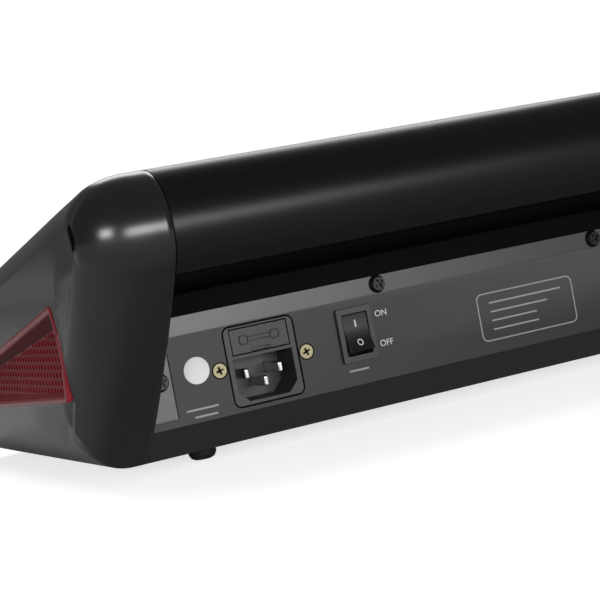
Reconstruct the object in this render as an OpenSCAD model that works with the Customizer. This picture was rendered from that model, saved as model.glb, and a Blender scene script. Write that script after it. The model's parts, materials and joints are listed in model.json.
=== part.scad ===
// Desk-top banknote checker: a steel body with a rolled top cover between two moulded cheeks.
// The rear (+Y) carries the power inlet and switch under an overhanging roll.
// The front (-Y) is an open viewing bay with ultraviolet tubes and a lit bed under a window.
// Millimetres. X is centred, +Y points to the rear, Z starts at the underside of the feet.
// "Body frame": the same axes with the origin at the rear lower edge of the steel pan.

/* [Body] */
// Width of the steel body between the two cheeks
inner_w = 304; // [296:1:330]
// Overall depth, from the front nose to the back of the roll
body_d = 280; // [276:1:300]
// Height of the body above its feet
body_h = 106; // [104:1:112]
// Fall of the deck towards the front, in degrees
deck_angle = 8.8; // [8:0.1:9.5]
// Thickness of the steel pan and end plates
sheet_t = 1.5; // [1:0.1:2]
// Thickness of the rolled top cover
cover_t = 2; // [1.5:0.1:2.5]
// Radius of the roll along the rear top
roll_r = 21; // [19:0.5:23]
// Radius of the nose at the front of the deck
nose_r = 14; // [12:0.5:15]

/* [Feet] */
// Height of the rubber feet
foot_h = 5; // [4:0.5:8]
// Diameter of the rubber feet
foot_d = 11; // [9:0.5:14]
// Distance from the foot centres to the end of the steel body
foot_inset = 27; // [20:1:40]

/* [Cheeks] */
// Thickness of each end cheek
cheek_t = 32; // [28:1:38]
// Wall of the cheek moulding
cheek_wall = 2.5; // [2:0.1:3]
// Width of the rounding at the rear of the cheek, across the object
edge_rear_w = 14; // [10:0.5:18]
// Width of the rounding along the top and the underside of the cheek
edge_side_w = 26; // [20:0.5:27]
// Inset of the flat side face from the deck and the roll
edge_top = 16; // [12:0.5:19]
// Inset of the flat side face from the rear slant
edge_rear = 6; // [4:0.5:8]
// Inset of the flat side face from the underside
edge_low = 32; // [28:0.5:34]
// Height of the vent insert at its rear end
vent_h = 34; // [26:0.5:35]
// Length of the vent insert
vent_len = 124; // [90:1:130]
// Diameter of the vent perforations
vent_hole_d = 2.1; // [1.6:0.1:2.4]
// Pitch of the perforations along the object
vent_pitch = 4.3; // [4:0.1:6]

/* [Rear panel] */
// Height of the slanted lower band, where the upright rear wall starts
bevel_h = 12; // [10:0.5:14]
// Top of the upright rear wall above the pan's underside
wall_top = 52.3; // [51.2:0.1:56]
// Top of the smooth panel plate
panel_top = 45.3; // [44.5:0.1:47]
// Thickness of the panel plate
panel_t = 0.8; // [0.6:0.1:1.2]
// Width of the notch at each end of the panel plate
notch_w = 10.9; // [9:0.1:13]
// Height at which the notches start
notch_z = 15; // [13:0.5:17]
// Distance between the screws along the top strip
strip_pitch = 101.3; // [95:0.1:108]
// Diameter of the pan heads of the rear screws
rear_head_d = 7.2; // [6.5:0.1:8]
// Diameter of the inspection sticker
sticker_d = 11; // [9:0.5:12]

/* [Power inlet] */
// Distance of the inlet centre from the end of the steel body
inlet_a = 48.2; // [46:0.1:50]
// Height of the inlet centre above the pan's underside
inlet_z = 29.2; // [29:0.1:29.8]
// Width of the inlet face
inlet_w = 28.5; // [28:0.1:29.5]
// Height of the inlet face
inlet_h = 30; // [29.5:0.1:30.5]
// Distance between the two inlet screws
ear_pitch = 36.2; // [35.5:0.1:37]
// Width of the plug cavity
plug_w = 24.5; // [24:0.1:25]
// Height of the plug cavity
plug_h = 16.5; // [16:0.1:16.8]
// Depth of the plug cavity
plug_depth = 16; // [14:0.5:17]
// Distance between the two line pins
pin_pitch = 14; // [13.5:0.1:14.5]
// Travel of the fuse drawer
drawer_travel = 18; // [12:0.5:20]

/* [Power switch] */
// Distance of the switch centre from the end of the steel body
switch_a = 88; // [86:0.1:92]
// Height of the switch centre above the pan's underside
switch_z = 31.7; // [30:0.1:33]
// Width of the switch bezel
bezel_w = 15; // [14.5:0.1:16]
// Height of the switch bezel
bezel_h = 21; // [20.5:0.1:22]
// Tilt of the rocker to each side of its middle, in degrees
rocker_tilt = 13; // [10:0.5:14]

/* [Viewing bay] */
// Height of the bed above the pan's underside
bed_top = 14; // [12.5:0.5:16]
// Clear height of the bay mouth
bay_h = 39; // [36:0.5:40]
// Distance from the rear wall to the partition behind the bay
electronics_d = 52.5; // [50:0.5:56]
// Width of the lit area of the bed
light_w = 240; // [220:1:250]
// Border of the bed in front of its lit area and behind it
light_border = 19.5; // [17:0.5:28]
// Thickness of the opal plate
opal_t = 3; // [2:0.1:4]

/* [Lamps] */
// Length of the glass of each ultraviolet tube
tube_l = 212; // [190:1:216]
// Diameter of the ultraviolet tubes
tube_d = 16; // [15:0.1:17]
// Distance between the two tubes
tube_pitch = 20; // [19:0.5:21]

/* [Window] */
// Width of the window pane
window_w = 244; // [220:1:250]
// Distance from the roll to the window pane, down the deck
window_start = 142.8; // [140:0.1:150]
// Thickness of the window pane
pane_t = 2; // [1.5:0.1:3]
// Height of the window frame above the deck
frame_h = 2; // [1.5:0.1:2.4]

/* [Controls] */
// Width of the key panel
keys_w = 150; // [144:1:156]
// Depth of the key panel
keys_d = 34; // [30:1:36]
// Diameter of the keys
key_d = 13.4; // [11:0.1:13.8]
// Distance between the keys
key_pitch = 36; // [30:1:38]
// Travel of the keys
key_travel = 1.2; // [0.8:0.1:1.3]
// Diameter of the sensitivity knob
knob_d = 22; // [18:0.5:26]
// Height of the sensitivity knob
knob_h = 9; // [8:0.5:10]

/* [Magnifier] */
// Diameter of the magnifying lens
lens_d = 52; // [40:1:56]
// Diameter of the guide rod
rod_d = 6; // [5:0.5:7]
// Height of the guide rod above the deck
rod_z = 10; // [9:0.5:12]
// Place of the magnifier across the window at rest
carriage_x = 68; // [0:1:70]

/* [Hidden] */

$fn = 48;
eps = 0.01;           // tiny overlap of cuts
fit = 0.3;            // gap between pieces that move past each other
slip = 0.1;           // gap round a screw or a fixed insert
run = 0.06;           // radial gap of a running shaft

// Colours
black_steel = [0.13, 0.13, 0.14];
grey_steel = [0.3, 0.3, 0.31];
moulded = [0.16, 0.16, 0.17];
vent_red = [0.45, 0.09, 0.1];
bright_metal = [0.78, 0.78, 0.76];
white_plastic = [0.92, 0.92, 0.9];
board_green = [0.1, 0.35, 0.2];

// Side profile of the body, in the body frame (first value Y, second value Z)
rear_slope = 45;                                          // slant of the cheek's rear face
lip_angle = -50;                                          // where the roll ends, from horizontal
roll_z = body_h - roll_r;
roll_y = (roll_z * cos(rear_slope) - roll_r) / sin(rear_slope);
deck_y = roll_y - roll_r * sin(deck_angle);               // where the deck leaves the roll
deck_z = roll_z + roll_r * cos(deck_angle);
front_y = roll_y + roll_r - body_d;                       // front of the nose
edge_y = body_d / 2 - roll_y - roll_r;                    // body frame's place in the object
function deck_at(y) = deck_z - (deck_y - y) * tan(deck_angle);
function under_deck_at(y) = deck_at(y) - cover_t / cos(deck_angle);

half_w = inner_w / 2;
fascia_t = 5.2;                                           // front bar and its corner radius
wall_y = bevel_h / tan(rear_slope);                       // outer face of the rear wall
wall_in = wall_y - sheet_t;
panel_y = wall_y + panel_t;                               // outer face of the panel plate
partition_y = wall_y - electronics_d;
partition_t = 1.2;
bay_top = bed_top + bay_h;                                // underside of the front lip
pan_front = front_y + fascia_t;
soffit_t = 1.2;
soffit_low = panel_top - 1;
soffit_knee = wall_top + 8;

// Outline of the body. Insets: e from the roll, deck and nose, r from the rear slant, b below
function arc(cy, cz, r, a0, a1, n) =
    [for (i = [0:n]) let (a = a0 + (a1 - a0) * i / n) [cy + r * cos(a), cz + r * sin(a)]];
function outline(e = 0, r = 0, b = 0, n = 12) =
    let (corner_y = (b * cos(rear_slope) - r) / sin(rear_slope),
         nose = max(nose_r - e, 1),
         toe = max(fascia_t - e, 1),
         nose_y = front_y + e + nose)
    concat(
        [[corner_y, b]],
        arc(roll_y, roll_z, roll_r - e, rear_slope - 90, 90 + deck_angle, n),
        arc(nose_y, deck_at(nose_y) - (nose + e) / cos(deck_angle), nose,
            90 + deck_angle, 180, max(4, n / 2)),
        arc(front_y + e + toe, b + toe, toe, 180, 270, 4));

module in_body() { translate([0, edge_y, foot_h]) children(); }
module along_x(x, len) { translate([x, 0, 0]) rotate([90, 0, 90]) linear_extrude(len) children(); }
module block(x0, x1, y0, y1, z0, z1) { translate([x0, y0, z0]) cube([x1 - x0, y1 - y0, z1 - z0]); }
module facing_rear(x, y, z) { translate([x, y, z]) rotate([-90, 0, 0]) children(); }
// Frame of the sloping deck: X as before, local Y up the slope, local Z out of the deck
module on_deck(x, s) {
    in_body() translate([0, deck_y, deck_z]) rotate([deck_angle, 0, 0]) translate([x, -s, 0])
        children();
}
module round_rect(w, h, r) {
    union() {
        square([w - 2 * r, h], center = true);
        square([w, h - 2 * r], center = true);
        for (sx = [-1, 1], sy = [-1, 1])
            translate([sx * (w / 2 - r), sy * (h / 2 - r)]) circle(r, $fn = 24);
    }
}
module rear_cut(x, z, w, h, r, y0, y1) {
    translate([x, y1, z]) rotate([90, 0, 0]) linear_extrude(y1 - y0) round_rect(w, h, r);
}

// ---------------------------------------------------------------- steel body
inlet_x = half_w - inlet_a;
switch_x = half_w - switch_a;
inlet_fit = 0.2;
switch_body_w = bezel_w - 2;
switch_body_h = bezel_h - 2;
screw_d = 3;
rear_screw_d = 4;
notch_screw_x = half_w - 6.2;
notch_screw_z = 29.6;
strip_screw_z = panel_top + rear_head_d / 2 + slip;
ear_head_d = 5.5;
ear_cone = 1.3;
foot_rear_y = -15;
foot_front_y = front_y + 24;
foot_peg_d = 5;
foot_keep = 1.5;                                          // peg above the pan's floor
base_xs = [-half_w + 40, 0, half_w - 40];
base_ys = [pan_front + 12, partition_y - 12];
board_floor = sheet_t + 6;
backlight_floor = sheet_t + 3;
standoff_d = 6;

module rear_screw_places() {
    for (sx = [-1, 1]) {
        facing_rear(sx * strip_pitch / 2, 0, strip_screw_z) children();
        facing_rear(sx * notch_screw_x, 0, notch_screw_z) children();
    }
}
module ear_places() {
    for (sx = [-1, 1]) facing_rear(inlet_x + sx * ear_pitch / 2, 0, inlet_z) children();
}
// Countersunk seat that opens at the panel's outer face
module ear_seat(gap) {
    translate([0, 0, panel_y - ear_cone])
        cylinder(h = ear_cone, d1 = screw_d + 2 * gap, d2 = ear_head_d + 2 * gap);
    translate([0, 0, wall_in - 9]) cylinder(h = panel_y - wall_in + 9, d = screw_d + 2 * gap);
}
module rear_openings(y0, y1) {
    rear_cut(inlet_x, inlet_z, inlet_w + 2 * inlet_fit, inlet_h + 2 * inlet_fit, 2.5, y0, y1);
    rear_cut(switch_x, switch_z, switch_body_w + 2 * slip, switch_body_h + 2 * slip, 0.8, y0, y1);
}
module foot_places() {
    for (sx = [-1, 1], y = [foot_rear_y, foot_front_y])
        translate([sx * (half_w - foot_inset), y, 0]) children();
}
module base_places() {
    for (x = base_xs, y = base_ys) translate([x, y, 0]) children();
}
function power_holes() = [for (x = [power_x0 + 5, power_x1 - 5], y = [power_y0 + 5, power_y1 - 5])
    [x, y]];
function light_holes() = [for (x = [-1, 0, 1], y = [-1, 1])
    [x * (light_w / 2 - 8), bed_mid + y * (light_d / 2 - 8)]];

module bottom_pan() {
    color(black_steel) in_body() difference() {
        union() {
            block(-half_w, half_w, pan_front, 0, 0, sheet_t);
            block(-half_w, half_w, pan_front, pan_front + sheet_t, 0, bed_top - 4);
            along_x(-half_w, inner_w) polygon([[0, 0], [wall_y, bevel_h], [wall_y, wall_top],
                [wall_in, wall_top], [wall_in, bevel_h + sheet_t * 0.4],
                [-sheet_t * 0.6, sheet_t], [-3, sheet_t], [-3, 0]]);
        }
        rear_openings(wall_in - 1, wall_y + 1);
        rear_screw_places() translate([0, 0, wall_in - 1])
            cylinder(h = sheet_t + 2, d = rear_screw_d + 2 * slip);
        ear_places() ear_seat(slip);
        foot_places() translate([0, 0, -1]) cylinder(h = sheet_t + 2, d = foot_peg_d + slip);
        base_places() translate([0, 0, -1]) cylinder(h = sheet_t + 2, d = screw_d + 2 * slip);
    }
}

module rear_panel() {
    color(black_steel) in_body() difference() {
        translate([0, panel_y, 0]) rotate([90, 0, 0]) linear_extrude(panel_t)
            polygon([[-half_w, bevel_h], [half_w, bevel_h], [half_w, notch_z],
                [half_w - notch_w, notch_z], [half_w - notch_w, panel_top],
                [notch_w - half_w, panel_top], [notch_w - half_w, notch_z], [-half_w, notch_z]]);
        rear_openings(wall_y - 1, panel_y + 1);
        ear_places() ear_seat(slip);
    }
}

// Openings in the deck
keys_s = 64;                       // centre of the controls, along the deck from the roll
knob_x = 106;
head_x = -106;
head_w = 30;
head_d = 12;
key_hole_w = keys_w - 20;
key_hole_d = 24;
bush_d = 7;
window_margin = 6;                 // from the window pane to the bend of the nose
deck_len = (deck_y - front_y) / cos(deck_angle);
window_d = deck_len - nose_r - window_margin - window_start;
window_s = window_start + window_d / 2;
vent_slots = 9;
slot_s = 103;

module top_cover() {
    color(black_steel) difference() {
        in_body() along_x(-half_w, inner_w) polygon(cover_section());
        on_deck(0, window_s) translate([0, 0, -cover_t - 1]) linear_extrude(cover_t + 2)
            round_rect(window_w + 2 * slip, window_d + 2 * slip, 4);
        on_deck(0, keys_s) translate([0, 0, -cover_t - 1]) linear_extrude(cover_t + 2)
            round_rect(key_hole_w, key_hole_d, 3);
        on_deck(knob_x, keys_s) translate([0, 0, -cover_t - 1])
            cylinder(h = cover_t + 2, d = bush_d + 2 * slip);
        on_deck(head_x, keys_s) translate([0, 0, -cover_t - 1]) linear_extrude(cover_t + 2)
            round_rect(head_w + 2 * slip, head_d + 2 * slip, 2);
        for (i = [0:vent_slots - 1])
            on_deck((i - (vent_slots - 1) / 2) * 22, slot_s)
                translate([0, 0, -cover_t - 1]) linear_extrude(cover_t + 2)
                    round_rect(14, 2.4, 1.19);
        rail_screw_places() translate([0, 0, -cover_t - 1])
            cylinder(h = cover_t + 2, d = screw_d + 2 * slip);
    }
}
nose_y = front_y + nose_r;
nose_z = deck_at(nose_y) - nose_r / cos(deck_angle);
lip_return = 10;
lip_step = bay_top + cover_t - nose_z;                    // lip's flange above the nose centre
lip_end = 180 - asin(max(lip_step, 0) / (nose_r - cover_t));
nose_over = nose_z - bay_top;                             // nose centre above the lip
nose_end = 180 - asin(max(-nose_over, 0) / nose_r);
function roll_arc(e) = arc(roll_y, roll_z, roll_r - e, lip_angle, 90 + deck_angle, 36);
function reversed(v) = [for (i = [len(v) - 1:-1:0]) v[i]];
// Section of the cover: round the outside from the roll's lip to the front lip, and back inside
function cover_section() = concat(
    roll_arc(0),
    arc(nose_y, nose_z, nose_r, 90 + deck_angle, nose_end, 10),
    nose_over > 0 ? [[front_y, bay_top]] : [],
    [[front_y + lip_return, bay_top], [front_y + lip_return, bay_top + cover_t]],
    lip_step < 0 ? [[front_y + cover_t, bay_top + cover_t]] : [],
    reversed(arc(nose_y, nose_z, nose_r - cover_t, 90 + deck_angle, lip_end, 10)),
    reversed(roll_arc(cover_t)));

module rear_soffit() {
    soffit_end = [roll_y, roll_z] + roll_r * [cos(lip_angle + 4), sin(lip_angle + 4)];
    rise = [-sin(10), cos(10)] * soffit_t;
    color(black_steel) in_body() difference() {
        along_x(-half_w, inner_w) difference() {
            polygon([[wall_in - soffit_t, soffit_low], [wall_in, soffit_low],
                [wall_in, soffit_knee], soffit_end, soffit_end + rise,
                [wall_in - soffit_t, soffit_knee + soffit_t * 1.15]]);
            difference() {
                translate([roll_y, roll_z - roll_r - 5]) square(roll_r + 5);
                polygon(concat([[roll_y, roll_z]], roll_arc(cover_t)));
            }
        }
        rear_screw_places() translate([0, 0, wall_in - 3])
            cylinder(h = 4, d = rear_screw_d + 2 * slip);
    }
}

// Upright end plate, drawn for the +X end
end_screws = [[-22, 78], [front_y + 50, 34], [roll_y - 6, roll_z]];
module side_plate() {
    color(grey_steel) in_body() difference() {
        union() {
            along_x(half_w - sheet_t, sheet_t) difference() {
                polygon(outline(cover_t + slip, cover_t + slip, sheet_t, 24));
                polygon([[wall_in - soffit_t, -1], [wall_in - soffit_t, soffit_knee + soffit_t * 1.15],
                    [roll_y + roll_r, soffit_knee + soffit_t * 1.15
                        + (roll_y + roll_r - wall_in) * tan(11.5)], [roll_y + roll_r, -1]]);
                translate([front_y - 1, -1])
                    square([lip_return + slip + 1, bay_top + cover_t + slip + 1]);
                rear_band_cut();
            }
            block(half_w - 14, half_w - eps, wall_in - sheet_t, wall_in, bevel_h + 3, soffit_low - 1);
            block(half_w - sheet_t, half_w - eps, wall_in - soffit_t - 1, wall_in, bevel_h + 3,
                soffit_low - 1);
        }
        facing_rear(notch_screw_x, wall_in - 4, notch_screw_z)
            cylinder(h = 5, d = rear_screw_d + 2 * slip);
        for (p = end_screws) translate([half_w - sheet_t - 1, p[0], p[1]]) rotate([0, 90, 0])
            cylinder(h = sheet_t + 2, d = screw_d + 2 * slip);
    }
}
// Room for the pan's slanted rear band, which passes below the end plate
module rear_band_cut() {
    polygon([[-sheet_t * 0.6, sheet_t - 1], [-sheet_t * 0.6, sheet_t],
        [wall_in, bevel_h + sheet_t * 0.4], [wall_in + 20, bevel_h + sheet_t * 0.4],
        [wall_in + 20, sheet_t - 1]]);
}
module side_plate_right() { side_plate(); }
module side_plate_left() { mirror([1, 0, 0]) side_plate(); }

// ---------------------------------------------------------------- cheeks
cheek_steps = 7;
slice = 0.2;                                              // thickness of each hulled section
// Quarter of an ellipse: the inset at x of a rounding w wide that ends e deep at x = t
function rounding(x, t, w, e) =
    e * (1 - sqrt(1 - pow(min(max((x - t + w) / w, 0), 1), 2)));
// Solid of the cheek: seam outline at x = 0, rounded to a smaller flat face at x = t.
// less: how much narrower and shallower the roundings are than the outer ones
module cheek_form(t, skin, less) {
    side_w = edge_side_w - less;
    hull() {
        along_x(0, slice) polygon(outline(skin, skin, skin));
        for (i = [1:cheek_steps]) let (x = t - side_w * (1 - sin(90 * i / cheek_steps)))
            along_x(x - slice, slice) polygon(outline(
                skin + rounding(x, t, side_w, edge_top - less / 2),
                skin + rounding(x, t, edge_rear_w - less / 2, edge_rear - less / 4),
                skin + rounding(x, t, side_w, edge_low - less / 2)));
    }
}
side_wall = 4;
vent_t = 2.2;
vent_ledge = 3;
vent_rear_y = 17;
vent_low_z = edge_low - 2;
// Wedge outline of the vent insert, shrunk by g on every side
module vent_wedge(g) {
    polygon([[vent_rear_y + 2 - g, vent_low_z + g], [vent_rear_y - g, vent_low_z + vent_h - 4 - g],
        [vent_rear_y - 3 - g, vent_low_z + vent_h - g],
        [vent_rear_y - 5 - g, vent_low_z + vent_h - g],
        [vent_rear_y - vent_len + g, vent_low_z + vent_h * 0.4 - g],
        [vent_rear_y - vent_len + g, vent_low_z + g]]);
}
module cheek() {
    color(moulded) in_body() translate([half_w, 0, 0]) difference() {
        union() {
            difference() {
                cheek_form(cheek_t, 0, 0);
                translate([-eps * 2, 0, 0]) cheek_form(cheek_t - side_wall, cheek_wall, side_wall);
            }
            along_x(0, cheek_wall) intersection() {
                polygon(outline(1, 1, 1));
                translate([wall_in - 4, -1]) square([100, body_h]);
            }
            for (p = end_screws) translate([0, p[0], p[1]]) rotate([0, 90, 0])
                cylinder(h = cheek_t - side_wall + 1, d = 9);
        }
        along_x(cheek_t - vent_t, vent_t + 1) vent_wedge(0);
        along_x(cheek_t - side_wall - 3, side_wall + 3) vent_wedge(vent_ledge);
        for (p = end_screws) translate([-1, p[0], p[1]]) rotate([0, 90, 0])
            cylinder(h = 13, d = screw_d + 2 * slip);
    }
}
module cheek_right() { cheek(); }
module cheek_left() { mirror([1, 0, 0]) cheek(); }

vent_rim = 3;
vent_row = 2.9;
module vent() {
    gap = 0.15;
    color(vent_red) in_body() translate([half_w, 0, 0]) {
        along_x(cheek_t - vent_t, vent_t) difference() {
            vent_wedge(gap);
            vent_wedge(vent_rim);
        }
        along_x(cheek_t - vent_t, 1.2) difference() {
            vent_wedge(gap);
            intersection() {
                vent_wedge(vent_rim + 1.2);
                for (i = [0:floor(vent_len / vent_pitch)], j = [0:floor(vent_h / vent_row)])
                    translate([vent_rear_y - vent_pitch * (i + (j % 2) / 2),
                        vent_low_z + 3 + j * vent_row]) circle(d = vent_hole_d, $fn = 6);
            }
        }
    }
}
module vent_right() { vent(); }
module vent_left() { mirror([1, 0, 0]) vent(); }

// ---------------------------------------------------------------- viewing bay
inside_w = inner_w - 2 * sheet_t;
bed_w = inside_w - 2 * slip;
bed_front = pan_front + sheet_t + slip;
bed_rear = partition_y - partition_t - slip;
bed_mid = (bed_front + bed_rear) / 2;
light_d = bed_rear - bed_front - 2 * light_border;
opal_seat = 4;
opal_z = bed_top - opal_t;
pcb_t = 1.6;

module front_fascia() {
    color(moulded) in_body() along_x(-half_w, inner_w) {
        difference() {
            translate([front_y + fascia_t, fascia_t]) circle(fascia_t, $fn = 48);
            translate([front_y + fascia_t, -1]) square([fascia_t + 1, 3 * fascia_t]);
            translate([front_y - 1, fascia_t]) square([3 * fascia_t, 2 * fascia_t]);
        }
        polygon([[front_y, fascia_t - eps], [pan_front, fascia_t - eps], [pan_front, bed_top],
            [front_y + 2, bed_top], [front_y, bed_top - 2]]);
    }
}

module bay_partition() {
    color(grey_steel) in_body() along_x(-inside_w / 2, inside_w)
        polygon([[partition_y - partition_t, sheet_t], [partition_y, sheet_t],
            [partition_y, under_deck_at(partition_y)],
            [partition_y - partition_t, under_deck_at(partition_y - partition_t)]]);
}

module bed_frame() {
    color(white_plastic) in_body() difference() {
        block(-bed_w / 2, bed_w / 2, bed_front, bed_rear, sheet_t, bed_top);
        translate([0, bed_mid, opal_z]) linear_extrude(opal_t + 1)
            round_rect(light_w + 2 * opal_seat, light_d + 2 * opal_seat, 4);
        translate([0, bed_mid, 0]) linear_extrude(bed_top + 1) round_rect(light_w, light_d, 2);
        base_places() cylinder(h = 10, d = screw_d + 2 * slip);
        foot_places() cylinder(h = sheet_t + foot_keep + slip, d = foot_peg_d + 2 * slip);
    }
}
module bed_diffuser() {
    color([0.95, 0.95, 0.97]) in_body() translate([0, bed_mid, opal_z]) linear_extrude(opal_t)
        round_rect(light_w + 2 * opal_seat - 2 * slip, light_d + 2 * opal_seat - 2 * slip, 3.9);
}
module backlight_board() {
    color(white_plastic) in_body() difference() {
        translate([0, bed_mid, backlight_floor]) linear_extrude(pcb_t)
            square([light_w - 2, light_d - 2], center = true);
        for (p = light_holes()) translate([p[0], p[1], 0]) cylinder(h = 20, d = screw_d);
    }
}
led_columns = 8;
led_rows = 4;
module backlight_leds() {
    color([1, 0.95, 0.7]) in_body()
        for (i = [0:led_columns - 1], j = [0:led_rows - 1])
            translate([(i - (led_columns - 1) / 2) * light_w / led_columns,
                bed_mid + (j - (led_rows - 1) / 2) * light_d / led_rows,
                backlight_floor + pcb_t]) translate([-2.5, -2.5, 0]) cube([5, 5, 1]);
}

// ---------------------------------------------------------------- lamps
lamp_y = partition_y - partition_t - 4 - tube_d / 2;       // rear tube
lamp_z = bay_top + 3 + tube_d / 2;
reflector_z = lamp_z + tube_d / 2 + 3;
reflector_t = 0.8;
reflector_d = tube_d + tube_pitch + 9;
cap_l = 5;
pin_d = 2.4;
holder_t = 9;
module tube_places() {
    for (i = [0, 1]) translate([0, lamp_y - i * tube_pitch, lamp_z]) rotate([0, 90, 0]) children();
}
module uv_tubes() {
    color([0.35, 0.3, 0.6]) in_body() tube_places()
        translate([0, 0, cap_l - tube_l / 2]) cylinder(h = tube_l - 2 * cap_l, d = tube_d - 0.6);
}
module tube_caps() {
    color(bright_metal) in_body() tube_places() for (m = [0, 1]) mirror([0, 0, m]) {
        translate([0, 0, tube_l / 2 - cap_l]) cylinder(h = cap_l, d = tube_d);
        for (sy = [-1, 1]) translate([0, sy * 2.4, tube_l / 2 - 1]) cylinder(h = 7, d = pin_d);
    }
}
module lamp_holders() {
    color(white_plastic) in_body() difference() {
        for (i = [0, 1], sx = [-1, 1]) translate([sx * (tube_l / 2 + holder_t / 2),
            lamp_y - i * tube_pitch, (reflector_z + lamp_z - 8) / 2])
            cube([holder_t, tube_d + 1, reflector_z - lamp_z + 8], center = true);
        tube_places() for (sy = [-1, 1]) translate([0, sy * 2.4, -tube_l / 2 - 6.5])
            cylinder(h = tube_l + 13, d = pin_d + slip);
    }
}
module reflector() {
    y1 = partition_y - partition_t;
    y0 = y1 - reflector_d;
    color(bright_metal) in_body() along_x(-inside_w / 2 + slip, inside_w - 2 * slip) polygon([
        [y1, reflector_z - 12], [y1, reflector_z + reflector_t],
        [y0, reflector_z + reflector_t], [y0 - 6, reflector_z - 16],
        [y0 - 6 + reflector_t, reflector_z - 16], [y0 + reflector_t, reflector_z],
        [y1 - reflector_t, reflector_z], [y1 - reflector_t, reflector_z - 12]]);
}

// ---------------------------------------------------------------- window and magnifier
frame_lap = 5;
module window_pane() {
    color([0.3, 0.2, 0.35, 0.5]) on_deck(0, window_s) translate([0, 0, -pane_t])
        linear_extrude(pane_t) round_rect(window_w, window_d, 4);
}
module window_frame() {
    color(moulded) on_deck(0, window_s) linear_extrude(frame_h) difference() {
        round_rect(window_w + 2 * frame_lap, window_d + 2 * frame_lap, 7);
        round_rect(window_w - 2 * frame_lap, window_d - 2 * frame_lap, 3);
    }
}
rail_s = window_s - window_d / 2 - frame_lap - 6;
rail_x = window_w / 2 + 3;
bracket_w = 8;
bracket_d = 10;
module rail_screw_places() {
    for (sx = [-1, 1]) on_deck(sx * rail_x, rail_s) children();
}
module rod_along(x0, x1, d) {
    translate([x0, 0, rod_z]) rotate([0, 90, 0]) cylinder(h = x1 - x0, d = d);
}
module rail_brackets() {
    color(moulded) for (sx = [-1, 1]) on_deck(sx * rail_x, rail_s) difference() {
        union() {
            translate([-bracket_w / 2, -bracket_d / 2, 0]) cube([bracket_w, bracket_d, rod_z]);
            rod_along(-bracket_w / 2, bracket_w / 2, bracket_d);
            translate([0, 0, -cover_t - 3]) cylinder(h = cover_t + 3 + eps, d = screw_d);
        }
        rod_along(-bracket_w / 2 - 1, bracket_w / 2 + 1, rod_d + slip);
    }
}
module magnifier_rail() {
    color(bright_metal) on_deck(0, rail_s)
        rod_along(-rail_x - bracket_w / 2 - 1, rail_x + bracket_w / 2 + 1, rod_d);
}
carriage_w = 26;
carriage_d = 14;
carriage_low = frame_h + fit + 0.2;
ring_w = 4;
ring_low = frame_h + 1.5;
ring_h = 6;
lens_s = window_s;
lens_edge = 2.4;
lens_seat = 0.22;                                         // room for the lens's bulge in its seat
module magnifier_carriage() {
    arm_end = window_s + window_d / 2 + 2;
    color(moulded) difference() {
        union() {
            on_deck(carriage_x, rail_s) {
                translate([-carriage_w / 2, -carriage_d / 2, carriage_low])
                    cube([carriage_w, carriage_d, rod_z - carriage_low]);
                rod_along(-carriage_w / 2, carriage_w / 2, carriage_d);
            }
            on_deck(carriage_x, lens_s) translate([0, 0, ring_low])
                cylinder(h = ring_h, d = lens_d + 2 * ring_w, $fn = 96);
            on_deck(carriage_x, 0) {
                translate([-6, -lens_s, ring_low]) cube([12, lens_s - rail_s, 4]);
                translate([-6, -arm_end, ring_low]) cube([12, arm_end - lens_s, 4]);
                translate([-9, -arm_end, frame_h + fit]) cube([18, 5, 4]);
            }
        }
        on_deck(carriage_x, rail_s) rod_along(-carriage_w, carriage_w, rod_d + 2 * run);
        on_deck(carriage_x, lens_s) {
            translate([0, 0, ring_low - 1]) cylinder(h = ring_h + 2, d = lens_d - 2, $fn = 96);
            translate([0, 0, ring_low + ring_h / 2 - lens_edge / 2 - lens_seat])
                cylinder(h = ring_h, d = lens_d + slip, $fn = 96);
        }
    }
}
module magnifier_lens() {
    bulge = 2.4;
    dome_r = ((lens_d / 2) * (lens_d / 2) + bulge * bulge) / (2 * bulge);
    color([0.8, 0.9, 0.95, 0.4]) on_deck(carriage_x, lens_s)
        translate([0, 0, ring_low + ring_h / 2]) rotate_extrude($fn = 96) intersection() {
            translate([0, -5]) square([lens_d / 2, 10]);
            translate([0, lens_edge / 2 + bulge - dome_r]) circle(dome_r, $fn = 200);
            translate([0, dome_r - lens_edge / 2 - bulge]) circle(dome_r, $fn = 200);
        }
}

// ---------------------------------------------------------------- electronics
power_x0 = -120;
power_x1 = 10;
power_y0 = partition_y + 4;
power_y1 = wall_in - 10.5;
power_top = board_floor + pcb_t;
module power_board() {
    color(board_green) in_body() difference() {
        block(power_x0, power_x1, power_y0, power_y1, board_floor, power_top);
        for (p = power_holes()) translate([p[0], p[1], 0]) cylinder(h = 20, d = screw_d);
    }
}
module transformer() {
    color([0.75, 0.6, 0.2]) in_body() {
        block(power_x0 + 14, power_x0 + 44, power_y0 + 4, power_y1 - 4, power_top, power_top + 22);
        block(power_x0 + 20, power_x0 + 38, power_y0 + 2, power_y1 - 2, power_top + 22 - eps,
            power_top + 26);
    }
}
module capacitors() {
    color([0.1, 0.12, 0.2]) in_body() for (i = [0:2])
        translate([power_x0 + 58 + i * 16, (power_y0 + power_y1) / 2, power_top])
            cylinder(h = 20 - 3 * i, d = 12 - i);
}
terminal_x = power_x1 - 22;
module terminal_block() {
    color([0.1, 0.4, 0.25]) in_body() difference() {
        block(terminal_x, terminal_x + 15, power_y0 + 12, power_y0 + 22, power_top, power_top + 10);
        for (i = [0:2]) translate([terminal_x + 2.5 + 5 * i, power_y0 + 17, power_top + 3])
            cylinder(h = 10, d = lead_d + slip, $fn = 24);
    }
}
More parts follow.
